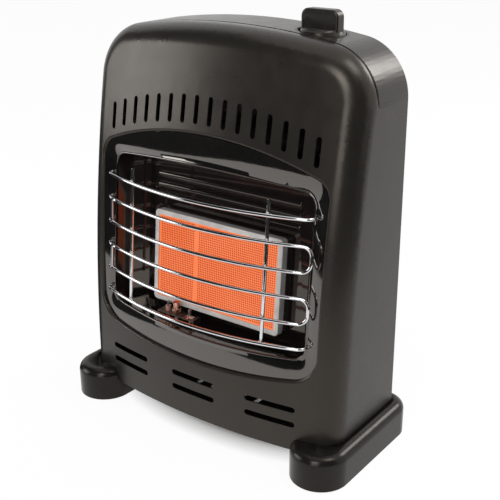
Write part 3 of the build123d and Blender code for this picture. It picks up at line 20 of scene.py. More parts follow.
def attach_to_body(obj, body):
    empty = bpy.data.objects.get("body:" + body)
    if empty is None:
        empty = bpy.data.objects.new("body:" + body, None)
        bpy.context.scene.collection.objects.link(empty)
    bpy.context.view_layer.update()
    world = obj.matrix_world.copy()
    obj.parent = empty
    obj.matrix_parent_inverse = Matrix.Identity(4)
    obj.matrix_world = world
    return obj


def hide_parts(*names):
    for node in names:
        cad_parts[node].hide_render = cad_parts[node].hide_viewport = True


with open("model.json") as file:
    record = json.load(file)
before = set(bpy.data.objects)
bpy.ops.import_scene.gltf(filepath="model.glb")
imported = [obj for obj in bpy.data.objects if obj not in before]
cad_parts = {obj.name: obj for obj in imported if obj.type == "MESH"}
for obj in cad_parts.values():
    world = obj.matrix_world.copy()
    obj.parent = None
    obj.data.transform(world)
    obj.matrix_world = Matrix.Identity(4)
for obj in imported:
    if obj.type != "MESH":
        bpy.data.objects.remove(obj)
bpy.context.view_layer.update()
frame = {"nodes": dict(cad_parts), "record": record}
log = logging.getLogger("heater")

Colour = tuple[float, float, float]
Triple = tuple[float, float, float]
Piece = bpy.types.Object
Shape = bmesh.types.BMesh
Socket = bpy.types.NodeSocket


# ---------------------------------------------------------------- names
class Body(Enum):
    """The rigid bodies of the heater."""

    CASING = "casing"
    CARRIAGE = "spindle_carriage"
    KNOB = "knob"


class Slot(Enum):
    """The material slots of the heater."""

    CASING = "casing_enamel"
    BEZEL = "bezel_enamel"
    FIREBOX = "firebox_enamel"
    SHEET = "aluminised_steel"
    FRAME = "frame_steel"
    CERAMIC = "hot_ceramic"
    GASKET = "gasket_fibre"
    BRASS = "brass_fitting"
    CASTING = "die_cast"
    PIPE = "pipe_metal"
    COPPER = "copper_lead"
    GLAZE = "insulator_glaze"
    ELECTRODE = "electrode_steel"
    SLEEVE = "lead_sleeve"
    IGNITER = "igniter_plastic"
    ZINC = "zinc_steel"
    KNOB = "knob_plastic"
    CHROME = "guard_chrome"
    FOOT = "foot_plastic"
    RUBBER = "pad_rubber"


# ---------------------------------------------------------------- materials
class Graph:
    """Node tree of one material or world, with a few short ways to add to it."""

    def __init__(self, name: str, world: bool = False) -> None:
        """Starts an empty tree with an output.

        Args:
            name: name of the new material or world.
            world: whether it is a world.
        """
        self.owner = (bpy.data.worlds if world else bpy.data.materials).new(name)
        self.owner.use_nodes = True
        self.tree = self.owner.node_tree
        self.tree.nodes.clear()
        self.output = self.add("ShaderNodeOutputWorld" if world else "ShaderNodeOutputMaterial")

    def add(self, kind: str) -> bpy.types.Node:
        """Adds a node of a kind and returns it."""
        return self.tree.nodes.new(kind)

    def link(self, start: Socket, end: Socket) -> None:
        """Joins an output socket to an input socket."""
        self.tree.links.new(start, end)

    def sum_up(self, operation: str, first: Socket, second: Socket) -> Socket:
        """Works out a sum, product or other operation on two values.

        Args:
            operation: name of the operation.
            first: first value.
            second: second value.

        Returns:
            The result's socket.
        """
        node = self.add("ShaderNodeMath")
        node.operation = operation
        self.link(first, node.inputs[0])
        self.link(second, node.inputs[1])
        return node.outputs["Value"]

    def noise(self, scale: float, detail: float = 3.0, stretch: Triple = (1.0, 1.0, 1.0)) -> Socket:
        """Noise on object coordinates.

        Args:
            scale: features per metre.
            detail: octaves of finer noise.
            stretch: factor on each axis.

        Returns:
            The noise's value socket.
        """
        place = self.add("ShaderNodeTexCoord")
        turn = self.add("ShaderNodeMapping")
        turn.inputs["Scale"].default_value = stretch
        grain = self.add("ShaderNodeTexNoise")
        grain.inputs["Scale"].default_value = scale
        grain.inputs["Detail"].default_value = detail
        self.link(place.outputs["Object"], turn.inputs["Vector"])
        self.link(turn.outputs["Vector"], grain.inputs["Vector"])
        return grain.outputs["Fac"]

    def spread(
        self, value: Socket, low: float, high: float, start: float = 0.3, end: float = 0.7
    ) -> Socket:
        """Maps a value from start..end to low..high.

        Args:
            value: socket to map.
            low: result at start.
            high: result at end.
            start: value that gives low.
            end: value that gives high.

        Returns:
            The mapped socket.
        """
        node = self.add("ShaderNodeMapRange")
        node.inputs["From Min"].default_value = start
        node.inputs["From Max"].default_value = end
        node.inputs["To Min"].default_value = low
        node.inputs["To Max"].default_value = high
        self.link(value, node.inputs["Value"])
        return node.outputs["Result"]

    def blend(self, value: Socket, first: Colour, second: Colour) -> Socket:
        """Blends two colours by a value from 0 to 1.

        Args:
            value: share of the second colour.
            first: colour at 0.
            second: colour at 1.

        Returns:
            The blended colour socket.
        """
        ramp = self.add("ShaderNodeValToRGB")
        ramp.color_ramp.elements[0].color = (*first, 1.0)
        ramp.color_ramp.elements[1].color = (*second, 1.0)
        self.link(value, ramp.inputs["Fac"])
        return ramp.outputs["Color"]

    def bump(self, height: Socket, distance: float, under: Socket | None = None) -> Socket:
        """Turns a height into a bumped normal.

        Args:
            height: height socket.
            distance: height in metres.
            under: normal of a bump below this one.

        Returns:
            The normal socket.
        """
        node = self.add("ShaderNodeBump")
        node.inputs["Distance"].default_value = distance
        self.link(height, node.inputs["Height"])
        if under is not None:
            self.link(under, node.inputs["Normal"])
        return node.outputs["Normal"]

    def surface(self) -> bpy.types.Node:
        """Adds the main shader, joined to the output.

        Returns:
            The shader.
        """
        shader = self.add("ShaderNodeBsdfPrincipled")
        self.link(shader.outputs["BSDF"], self.output.inputs["Surface"])
        return shader


@dataclass(frozen=True)
class Finish:
    """A surface with mottled colour, uneven gloss and a fine relief.

    Attributes:
        slot: material slot of the record.
        colour: darker of the two colours.
        second: lighter of the two colours.
        mottle: patches of colour per metre.
        gloss: lowest and highest roughness.
        grain: relief features per metre.
        relief: height of the relief in metres.
        metal: 1 for a bare metal.
        level: specular level.
        tint: colour of the gloss; on the dark finishes it is the warm colour of the studio light, painted
            into their highlights.
        coat: weight of a clear coat.
        stretch: stretch of the relief on each axis.
        coat_gloss: roughness of the clear coat.
        wave: slow waviness of the sheet in metres, 0 for none.
        waves: waves per metre.
    """

    slot: Slot
    colour: Colour
    second: Colour
    mottle: float = 30.0
    gloss: tuple[float, float] = (0.3, 0.4)
    grain: float = 2500.0
    relief: float = 0.00002
    metal: float = 0.0
    level: float = 0.5
    tint: Colour = (1.0, 1.0, 1.0)
    coat: float = 0.0
    stretch: Triple = (1.0, 1.0, 1.0)
    coat_gloss: float = 0.06
    wave: float = 0.0
    waves: float = 9.0

    def build(self) -> bpy.types.Material:
        """Makes the material.

        Returns:
            The material.
        """
        graph = Graph(self.slot.value)
        shader = graph.surface()
        patches = graph.noise(self.mottle, 4.0)
        colour = graph.blend(graph.spread(patches, 0.0, 1.0), self.colour, self.second)
        graph.link(colour, shader.inputs["Base Color"])
        wear = graph.noise(self.mottle * 4.0, 5.0, self.stretch)
        graph.link(graph.spread(wear, *self.gloss), shader.inputs["Roughness"])
        shader.inputs["Metallic"].default_value = self.metal
        shader.inputs["Specular IOR Level"].default_value = self.level
        shader.inputs["Specular Tint"].default_value = (*self.tint, 1.0)
        shader.inputs["Coat Weight"].default_value = self.coat
        shader.inputs["Coat Roughness"].default_value = self.coat_gloss
        under = None
        if self.wave:
            under = graph.bump(graph.noise(self.waves, 1.0), self.wave)
        fine = graph.bump(graph.noise(self.grain, 2.0, self.stretch), self.relief, under)
        graph.link(fine, shader.inputs["Normal"])
        return graph.owner


@dataclass(frozen=True)
class GlowingCeramic:
    """Radiant ceramic at working heat, hotter towards its right side and in patches.

    Attributes:
        name: name of the material.
        ember: colour of the cooler parts.
        glow: colour of the hotter parts.
        patches: patches per metre.
        cool_x: where the ceramic is coolest.
        warm_x: where it is hottest.
        base: colour of the ceramic itself.
        grain: relief features per metre.
        relief: height of the relief in metres.
    """

    name: str = Slot.CERAMIC.value
    ember: Colour = (0.93, 0.19, 0.055)
    glow: Colour = (0.98, 0.27, 0.11)
    patches: float = 28.0
    cool_x: float = -0.07
    warm_x: float = 0.07
    base: Colour = (0.02, 0.01, 0.008)
    grain: float = 3000.0
    relief: float = 0.00003

    def build(self) -> bpy.types.Material:
        """Makes the material.

        Returns:
            The material.
        """
        graph = Graph(self.name)
        shader = graph.surface()
        place = graph.add("ShaderNodeTexCoord")
        split = graph.add("ShaderNodeSeparateXYZ")
        graph.link(place.outputs["Object"], split.inputs["Vector"])
        across = graph.spread(split.outputs["X"], 0.0, 0.6, self.cool_x, self.warm_x)
        patch = graph.spread(graph.noise(self.patches, 3.0), 0.0, 0.4, 0.35, 0.65)
        light = graph.blend(graph.sum_up("ADD", across, patch), self.ember, self.glow)
        graph.link(light, shader.inputs["Emission Color"])
        shader.inputs["Emission Strength"].default_value = 1.0
        shader.inputs["Base Color"].default_value = (*self.base, 1.0)
        shader.inputs["Roughness"].default_value = 0.9
        shader.inputs["Specular IOR Level"].default_value = 0.1
        graph.link(graph.bump(graph.noise(self.grain), self.relief), shader.inputs["Normal"])
        return graph.owner


# Warm colour of the studio light, painted into the gloss of the dark finishes: a painted tint of their
# highlights.
WARM_LIGHT_TINT: Colour = (1.0, 0.89, 0.78)
FINISHES: tuple[Finish, ...] = (
    Finish(
        Slot.CASING, (0.0095, 0.0088, 0.0076), (0.0125, 0.0113, 0.0097), 18.0, (0.27, 0.32), 2600.0, 0.00001,
        level=0.43, tint=WARM_LIGHT_TINT, wave=0.00003,
    ),
    Finish(
        Slot.BEZEL, (0.003, 0.003, 0.003), (0.005, 0.0048, 0.0046), 25.0, (0.04, 0.08), 900.0, 0.000002,
        level=1.0, tint=WARM_LIGHT_TINT, coat=1.0,
    ),
    # The faint red in this black enamel's colour is a painted reflection of the glowing plaque.
    Finish(
        Slot.FIREBOX, (0.004, 0.003, 0.003), (0.007, 0.005, 0.005), 40.0, (0.05, 0.1), 700.0, 0.000003,
        level=0.9, tint=WARM_LIGHT_TINT, wave=0.00004,
    ),
    # Aluminised steel kept far darker than the bare metal: a painted shade for the heater's dark interior.
    Finish(
        Slot.SHEET, (0.12, 0.115, 0.11), (0.18, 0.175, 0.17), 60.0, (0.45, 0.6), 900.0, 0.00001, 1.0,
        stretch=(0.15, 1.0, 1.0),
    ),
    Finish(Slot.FRAME, (0.5, 0.48, 0.46), (0.64, 0.63, 0.61), 90.0, (0.42, 0.55), 1500.0, 0.00001, 0.6),
    Finish(
        Slot.GASKET, (0.55, 0.53, 0.49), (0.72, 0.7, 0.66), 300.0, (0.85, 0.95), 2200.0, 0.0001,
        level=0.2,
    ),
    Finish(Slot.BRASS, (0.62, 0.42, 0.17), (0.74, 0.54, 0.26), 120.0, (0.2, 0.34), 1500.0, 0.00001, 1.0),
    Finish(Slot.CASTING, (0.45, 0.45, 0.46), (0.58, 0.58, 0.59), 80.0, (0.4, 0.55), 1800.0, 0.00004, 0.9),
    Finish(Slot.PIPE, (0.5, 0.5, 0.51), (0.62, 0.62, 0.63), 60.0, (0.25, 0.38), 1400.0, 0.00001, 1.0),
    Finish(Slot.COPPER, (0.62, 0.3, 0.16), (0.74, 0.4, 0.24), 90.0, (0.25, 0.4), 1400.0, 0.00001, 1.0),
    Finish(Slot.GLAZE, (0.2, 0.1, 0.075), (0.3, 0.16, 0.12), 200.0, (0.1, 0.18), 900.0, 0.000004, coat=0.5),
    Finish(Slot.ELECTRODE, (0.1, 0.085, 0.08), (0.26, 0.22, 0.2), 240.0, (0.35, 0.5), 2000.0, 0.00001, 1.0),
    Finish(Slot.SLEEVE, (0.3, 0.03, 0.02), (0.38, 0.05, 0.035), 90.0, (0.5, 0.6), 2400.0, 0.00001),
    Finish(Slot.IGNITER, (0.03, 0.03, 0.03), (0.05, 0.05, 0.05), 90.0, (0.4, 0.5), 2600.0, 0.00001),
    Finish(Slot.ZINC, (0.5, 0.5, 0.48), (0.62, 0.62, 0.6), 200.0, (0.24, 0.36), 1800.0, 0.00001, 1.0),
    Finish(
        Slot.KNOB, (0.008, 0.0076, 0.007), (0.012, 0.0114, 0.0105), 80.0, (0.28, 0.34), 3200.0, 0.00001,
        level=0.4, tint=WARM_LIGHT_TINT,
    ),
    Finish(Slot.CHROME, (0.66, 0.66, 0.67), (0.74, 0.74, 0.75), 70.0, (0.05, 0.1), 1200.0, 0.000003, 1.0),
    Finish(
        Slot.FOOT, (0.006, 0.0056, 0.0052), (0.009, 0.0085, 0.008), 50.0, (0.2, 0.28), 2600.0, 0.00001,
        level=0.24, tint=WARM_LIGHT_TINT,
    ),
    Finish(
        Slot.RUBBER, (0.018, 0.018, 0.018), (0.03, 0.03, 0.03), 150.0, (0.65, 0.8), 2600.0, 0.00004,
        level=0.3,
    ),
)


class Palette:
    """Every material of the heater, by slot."""

    def __init__(self) -> None:
        """Builds all the finishes."""
        self.by_slot: dict[Slot, bpy.types.Material] = {finish.slot: finish.build() for finish in FINISHES}
        self.by_slot[Slot.CERAMIC] = GlowingCeramic().build()
        stain = (0.3, 0.11, 0.08), (0.62, 0.38, 0.3)
        self.stained_brass = Finish(Slot.BRASS, *stain, 420.0, (0.12, 0.3), 1500.0, metal=1.0).build()
        self.burner_hole = GlowingCeramic("burner_hole", (0.36, 0.025, 0.005), (0.5, 0.05, 0.01)).build()

    def __getitem__(self, slot: Slot) -> bpy.types.Material:
        """The material of a slot."""
        return self.by_slot[slot]


# ---------------------------------------------------------------- mesh helpers
def new_piece(name: str, shape: Shape, materials: list[bpy.types.Material], angle: float = 35.0) -> Piece:
    """Turns a bmesh into a smooth-shaded object of the scene.

    Args:
        name: name of the piece.
        shape: its mesh, freed afterwards.
        materials: its materials, in the order of the faces' indices.
        angle: turn in degrees from which an edge stays sharp.

    Returns:
        The object.
    """
    mesh = bpy.data.meshes.new(name)
    shape.normal_update()
    shape.to_mesh(mesh)
    shape.free()
    for material in materials:
        mesh.materials.append(material)
    mesh.shade_smooth()
    mesh.set_sharp_from_angle(angle=math.radians(angle))
    piece = bpy.data.objects.new(name, mesh)
    bpy.context.scene.collection.objects.link(piece)
    return piece


def attach(piece: Piece, nodes: tuple[str, ...] = (), body: Body = Body.CASING) -> Piece:
    """Makes a piece move with a body, and hides the CAD nodes that it stands for.

    Args:
        piece: the piece.
        nodes: CAD nodes that it replaces.
        body: body that carries it.

    Returns:
        The same piece.
    """
    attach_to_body(piece, body.value)
    if nodes:
        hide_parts(*nodes)
    log.info("%s rides on %s", piece.name, body.value)
    return piece


def surfaced(node: str, slot: Slot, palette: Palette, angle: float = 28.0, body: Body = Body.CASING) -> Piece:
    """Stands a merged, smooth-shaded copy in for a CAD node.

    Args:
        node: name of the CAD node.
        slot: its material slot.
        palette: the materials.
        angle: turn in degrees from which an edge stays sharp.
        body: body that carries it.

    Returns:
        The copy.
    """
    shape = bmesh.new()
    shape.from_mesh(frame["nodes"][node].data)
    bmesh.ops.remove_doubles(shape, verts=shape.verts, dist=1e-6)
    for face in shape.faces:
        face.material_index = 0
    piece = new_piece(f"{node}_skin", shape, [palette[slot]], angle)
    weigh = piece.modifiers.new("even_shading", "WEIGHTED_NORMAL")
    weigh.keep_sharp = True
    weigh.weight = 100
    return attach(piece, (node,), body)


def turned(profile: list[tuple[float, float]], segments: int) -> Shape:
    """Spins a profile once round the Z axis.

    Args:
        profile: radius and height of each point, from one pole or rim to the other.
        segments: steps of the full turn.

    Returns:
        The closed or open shell, with outward faces.
    """
    shape = bmesh.new()
    points = [shape.verts.new((radius, 0.0, height)) for radius, height in profile]
    edges = [shape.edges.new(pair) for pair in zip(points, points[1:])]
    bmesh.ops.spin(
        shape,
        geom=points + edges,
        cent=(0.0, 0.0, 0.0),
        axis=(0.0, 0.0, 1.0),
        angle=2.0 * math.pi,
        steps=segments,
        use_merge=True,
    )
    bmesh.ops.remove_doubles(shape, verts=shape.verts, dist=1e-7)
    bmesh.ops.recalc_face_normals(shape, faces=shape.faces)
    return shape


def placed(shape: Shape, spot: Vector, along: Vector) -> None:
    """Turns a shape's Z axis to a direction and moves it to a place.

    Args:
        shape: the shape.
        spot: where its origin goes.
        along: where its Z axis points.
    """
    turn = Vector((0.0, 0.0, 1.0)).rotation_difference(along).to_matrix().to_4x4()
    bmesh.ops.transform(shape, matrix=Matrix.Translation(spot) @ turn, verts=shape.verts)


def join_into(whole: Shape, part: Shape) -> None:
    """Adds one bmesh to another and frees it.

    Args:
        whole: bmesh that grows.
        part: bmesh that is added.
    """
    carrier = bpy.data.meshes.new("carrier")
    part.to_mesh(carrier)
    part.free()
    whole.from_mesh(carrier)
    bpy.data.meshes.remove(carrier)


# ---------------------------------------------------------------- sub-assemblies
@dataclass
class BurnerPlane:
    """Where the plaque's frame lies, and which way it faces.

    Attributes:
        origin: middle of the frame's front.
        lean: backward lean in degrees.
    """

    origin: Vector = field(default_factory=lambda: Vector((0.0, -0.0245, 0.146)))
    lean: float = 5.4

    def matrix(self, depth: float) -> Matrix:
        """Places a flat drawing on the plane.

        Args:
            depth: distance behind the frame's front.

        Returns:
            Matrix that takes X, Y, Z to right, up, forward.
        """
        tilt = math.radians(self.lean)
        right = Vector((1.0, 0.0, 0.0))
        up = Vector((0.0, math.sin(tilt), math.cos(tilt)))
        ahead = Vector((0.0, -math.cos(tilt), math.sin(tilt)))
        turn = Matrix((right, up, ahead)).transposed().to_4x4()
        return Matrix.Translation(self.origin - depth * ahead) @ turn


@dataclass
class Plaque:
    """Two radiant tiles with their rows of burner holes.

    Attributes:
        field_width: width of both tiles and their joint.
        field_length: height of the tiles.
        thickness: thickness of a tile.
        depth: front of the tiles, behind the frame's front.
        small_width: width of the narrow tile.
        joint: gap between the tiles.
        pitch: spacing of the holes.
        hole: radius of a hole.
        drill: depth of a hole that is modelled.
        joint_sink: cement of the joint behind the tiles' front.
        margin: plain border round the holes.
        plane: where the burner lies.
    """

    field_width: float = 0.1285
    field_length: float = 0.0753
    thickness: float = 0.012
    depth: float = 0.001
    small_width: float = 0.0426
    joint: float = 0.0006
    pitch: float = 0.002
    hole: float = 0.00068
    drill: float = 0.0016
    joint_sink: float = 0.0002
    margin: float = 0.0014
    plane: BurnerPlane = field(default_factory=BurnerPlane)

    def tile(self, width: float, middle: float) -> Shape:
        """Makes one tile with its holes.

        Args:
            width: width of the tile.
            middle: its middle, measured from the middle of the field.

        Returns:
            The tile, placed in the burner.
        """
        columns = int((width - 2.0 * self.margin) / self.pitch)
        rows = int((self.field_length - 2.0 * self.margin) / self.pitch)
        shape = bmesh.new()
        bmesh.ops.create_grid(shape, x_segments=columns, y_segments=rows, size=0.5)
        bmesh.ops.scale(shape, vec=(columns * self.pitch, rows * self.pitch, 1.0), verts=shape.verts)
        cells = list(shape.faces)
        web = self.pitch / 2.0 - self.hole
        bmesh.ops.inset_individual(shape, faces=cells, thickness=web, use_even_offset=True)
        inner = dict.fromkeys(edge for cell in cells for edge in cell.edges)
        bmesh.ops.subdivide_edges(shape, edges=list(inner), cuts=1)
        for cell in cells:
            centre = cell.calc_center_median()
            for vert in cell.verts:
                vert.co = centre + (vert.co - centre).normalized() * self.hole
        drilled = bmesh.ops.extrude_discrete_faces(shape, faces=cells)["faces"]
        floors = {vert for face in drilled for vert in face.verts}
        bmesh.ops.translate(shape, vec=(0.0, 0.0, -self.drill), verts=list(floors))
        for edge in {edge for face in drilled for edge in face.edges}:
            for face in edge.link_faces:
                face.material_index = 1
        rim = [edge for edge in shape.edges if edge.is_boundary]
        border = bmesh.ops.extrude_edge_only(shape, edges=rim)["geom"]
        outer = [item for item in border if isinstance(item, bmesh.types.BMVert)]
        stretch_x = width / (columns * self.pitch)
        stretch_y = self.field_length / (rows * self.pitch)
        bmesh.ops.scale(shape, vec=(stretch_x, stretch_y, 1.0), verts=outer)
        edge_loop = [item for item in border if isinstance(item, bmesh.types.BMEdge) and item.is_boundary]
        walls = bmesh.ops.extrude_edge_only(shape, edges=edge_loop)["geom"]
        back = [item for item in walls if isinstance(item, bmesh.types.BMVert)]
        bmesh.ops.translate(shape, vec=(0.0, 0.0, -self.thickness), verts=back)
        back_loop = [item for item in walls if isinstance(item, bmesh.types.BMEdge) and item.is_boundary]
        bmesh.ops.holes_fill(shape, edges=back_loop, sides=len(back_loop))
        bmesh.ops.recalc_face_normals(shape, faces=shape.faces)
        bmesh.ops.translate(shape, vec=(middle, 0.0, 0.0), verts=shape.verts)
        bmesh.ops.transform(shape, matrix=self.plane.matrix(self.depth), verts=shape.verts)
        return shape

    def cement(self) -> Shape:
        """Makes the strip of cement between the tiles.

        Returns:
            The strip, placed in the burner.
        """
        shape = bmesh.new()
        bmesh.ops.create_cube(shape, size=1.0)
        depth = self.thickness / 2.0
        bmesh.ops.scale(shape, vec=(self.joint, self.field_length, depth), verts=shape.verts)
        middle = self.small_width + (self.joint - self.field_width) / 2.0
        bmesh.ops.translate(shape, vec=(middle, 0.0, -depth / 2.0), verts=shape.verts)
        bmesh.ops.transform(shape, matrix=self.plane.matrix(self.depth + self.joint_sink), verts=shape.verts)
        return shape

    def build(self, palette: Palette) -> None:
        """Makes both tiles and puts them in place of the plain ones.

        Args:
            palette: the materials.
        """
        large_width = self.field_width - self.small_width - self.joint
        tiles = (
            ("ceramic_tile_small", self.small_width, (self.small_width - self.field_width) / 2.0),
            ("ceramic_tile_large", large_width, (self.field_width - large_width) / 2.0),
        )
        for node, width, middle in tiles:
            materials = [palette[Slot.CERAMIC], palette.burner_hole]
            piece = new_piece(f"{node}_drilled", self.tile(width, middle), materials, 50.0)
            attach(piece, (node,))
        strip = new_piece("tile_cement", self.cement(), [palette[Slot.CERAMIC]])
        attach(strip)


@dataclass
class Screws:
    """Pan-head screws with a cross recess.

    Attributes:
        name: name of the piece.
        node: CAD node that they replace.
        spots: middle of each seat.
        along: which way the heads point.
        radius: radius of a head.
        height: height of a head.
        shank: radius of a shank.
        length: length of a shank.
        rounding: rounded share of a head's height.
        arm: half width of an arm of the recess, in degrees.
        pinch: how near the recess comes to the axis between its arms, as a share of the radius.
        sink: depth of the recess, as a share of the head's height.
        taper: size of the recess's floor, as a share of its mouth.
    """

    name: str
    node: str
    spots: list[Triple]
    along: Triple
    radius: float = 0.0036
    height: float = 0.0018
    shank: float = 0.0019
    length: float = 0.008
    rounding: float = 0.45
    arm: float = 20.0
    pinch: float = 0.5
    sink: float = 0.6
    taper: float = 0.7

    def one(self) -> Shape:
        """Makes a screw whose seat is at the origin and whose head points up.

        Returns:
            The screw, with outward faces.
        """
        edge = self.height * self.rounding
        profile = [
            (0.0, -self.length),
            (self.shank * 0.6, -self.length),
            (self.shank, -self.length + self.shank * 0.5),
            (self.shank, 0.0),
            (self.radius, 0.0),
            (self.radius, self.height - edge),
            (self.radius - edge * 0.4, self.height - edge * 0.35),
            (self.radius - edge * 1.2, self.height),
        ]
        shape = turned(profile, 24)
        rim = [item for item in shape.edges if item.is_boundary]
        crown = bmesh.ops.contextual_create(shape, geom=rim)["faces"]
        bmesh.ops.inset_region(shape, faces=crown, thickness=self.radius * 0.12, use_even_offset=True)
        for vert in crown[0].verts:
            turn = math.degrees(math.atan2(vert.co.y, vert.co.x)) % 90.0
            if self.arm < turn < 90.0 - self.arm:
                vert.co.x *= self.pinch
                vert.co.y *= self.pinch
        sunk = bmesh.ops.extrude_discrete_faces(shape, faces=crown)["faces"]
        floor = list(sunk[0].verts)
        bmesh.ops.translate(shape, vec=(0.0, 0.0, -self.height * self.sink), verts=floor)
        bmesh.ops.scale(shape, vec=(self.taper, self.taper, 1.0), verts=floor)
        bmesh.ops.recalc_face_normals(shape, faces=shape.faces)
        return shape

    def build(self, palette: Palette) -> None:
        """Makes all the screws as one piece.

        Args:
            palette: the materials.
        """
        whole = bmesh.new()
        for spot in self.spots:
            screw = self.one()
            placed(screw, Vector(spot), Vector(self.along))
            join_into(whole, screw)
        piece = new_piece(self.name, whole, [palette[Slot.ZINC]], 40.0)
        attach(piece, (self.node,))


@dataclass
class GasInlet:
    """Threaded flare fitting with its end cone and bore.

    Attributes:
        x: place of the axis, to the right.
        z: height of the axis.
        start: front end, at the regulator.
        shoulder: where the bulkhead body ends and the thread starts.
        end: rear end.
        body: radius of the bulkhead body.
        radius: outside radius of the thread.
        bore: radius of the bore.
        bore_depth: depth of the bore.
        cone: width and depth of the end cone.
        pitch: spacing of the thread.
        tooth: depth of the thread.
        thread: length of the thread.
        crest: where the flat top of a tooth starts and ends, as shares of the spacing.
        break_edge: width of the broken edge of the bore.
    """

    x: float = 0.084
    z: float = 0.048
    start: float = 0.039
    shoulder: float = 0.054
    end: float = 0.0675
    body: float = 0.009
    radius: float = 0.00794
    bore: float = 0.004
    bore_depth: float = 0.022
    cone: float = 0.0024
    pitch: float = 0.001411
    tooth: float = 0.0007
    thread: float = 0.0104
    crest: tuple[float, float] = (0.42, 0.58)
    break_edge: float = 0.0006

    def build(self, palette: Palette) -> None:
        """Makes the fitting in place of the plain cylinder.

        Args:
            palette: the materials.
        """
        length = self.end - self.start
        top = length - self.cone
        step = self.shoulder - self.start
        count = int(self.thread / self.pitch)
        low = top - count * self.pitch
        root = self.radius - self.tooth
        profile = [(0.0, 0.0), (self.body, 0.0), (self.body, step), (self.radius, step)]
        profile.append((self.radius, low - self.pitch * 0.5))
        for index in range(count):
            base = low + index * self.pitch
            profile.append((root, base))
            profile += [(self.radius, base + self.pitch * share) for share in self.crest]
        profile += [
            (root, top),
            (self.radius - self.cone, length),
            (self.bore + self.break_edge, length),
            (self.bore, length - self.break_edge),
            (self.bore, length - self.bore_depth),
            (0.0, length - self.bore_depth - self.bore * 0.5),
        ]
        shape = turned(profile, 48)
        placed(shape, Vector((self.x, self.start, self.z)), Vector((0.0, 1.0, 0.0)))
        piece = new_piece("gas_inlet_thread", shape, [palette[Slot.BRASS]], 25.0)
        attach(piece, ("gas_inlet_fitting",))


@dataclass
class GuardWelds:
    """Small weld beads where the upright rods cross the wires.

    Attributes:
        low: height of the lowest wire.
        pitch: spacing of the wires.
        reach: middle of the lowest wire, ahead of the origin.
        lean: backward lean per unit of height.
        bulge: radius of the wires seen from above.
        rods: places of the rods.
        rows: number of wires.
        bead: radius of a bead.
        seat: middle of the beads behind the middle of a wire.
        spread: distance of the beads from the crossing, each way.
    """

    low: float = 0.112
    pitch: float = 0.021
    reach: float = 0.0658
    lean: float = 0.0926
    bulge: float = 0.3105
    rods: tuple[float, float] = (-0.071, 0.071)
    rows: int = 6
    bead: float = 0.0008
    seat: float = 0.0015
    spread: float = 0.0008

    def build(self, palette: Palette) -> None:
        """Makes the beads as one piece.

        Args:
            palette: the materials.
        """
        whole = bmesh.new()
        for row in range(self.rows):
            height = self.low + row * self.pitch
            nose = self.lean * (height - self.low) - self.reach
            for x in self.rods:
                y = nose + self.bulge - math.sqrt(self.bulge**2 - x**2) + self.seat
                for side, over in product((-1.0, 1.0), repeat=2):
                    bead = bmesh.new()
                    bmesh.ops.create_icosphere(bead, subdivisions=2, radius=self.bead)
                    spot = Vector((x + side * self.spread, y, height + over * self.spread))
                    bmesh.ops.translate(bead, vec=spot, verts=bead.verts)
                    join_into(whole, bead)
        piece = new_piece("guard_welds", whole, [palette[Slot.CHROME]], 60.0)
        attach(piece)


@dataclass
class Pilot:
    """Heat-stained pilot head, and a bright star-shaped push nut that holds the thermocouple.

    Attributes:
        spot: middle of the nut, on the bracket.
        points: points of the star.
        outer: radius at the points.
        inner: radius between the points.
        sheet: thickness of the nut.
        dome: how far its middle is raised.
        hole: radius of its hole.
    """

    spot: Triple = (-0.022, -0.033, 0.0996)
    points: int = 6
    outer: float = 0.0055
    inner: float = 0.0034
    sheet: float = 0.0004
    dome: float = 0.0012
    hole: float = 0.0017

    def nut(self) -> Shape:
        """Makes the push nut.

        Returns:
            The nut, placed on the bracket.
        """
        shape = bmesh.new()
        rim = bmesh.ops.create_circle(shape, segments=4 * self.points, radius=self.outer)["verts"]
        for step, vert in enumerate(rim):
            if step % 4 == 2:
                vert.co *= self.inner / self.outer
            elif step % 4:
                vert.co *= (self.inner + self.outer) / 2.0 / self.outer
        neck = bmesh.ops.create_circle(shape, segments=4 * self.points, radius=self.hole)["verts"]
        bmesh.ops.translate(shape, vec=(0.0, 0.0, self.dome), verts=neck)
        bmesh.ops.bridge_loops(shape, edges=list(shape.edges))
        bmesh.ops.recalc_face_normals(shape, faces=shape.faces)
        bmesh.ops.solidify(shape, geom=list(shape.faces), thickness=self.sheet)
        bmesh.ops.translate(shape, vec=self.spot, verts=shape.verts)
        return shape

    def build(self, palette: Palette) -> None:
        """Makes the nut and stains the pilot head.

        Args:
            palette: the materials.
        """
        head = surfaced("pilot_burner", Slot.BRASS, palette)
        head.data.materials[0] = palette.stained_brass
        nut = new_piece("thermocouple_nut", self.nut(), [palette[Slot.CHROME]], 30.0)
        attach(nut)


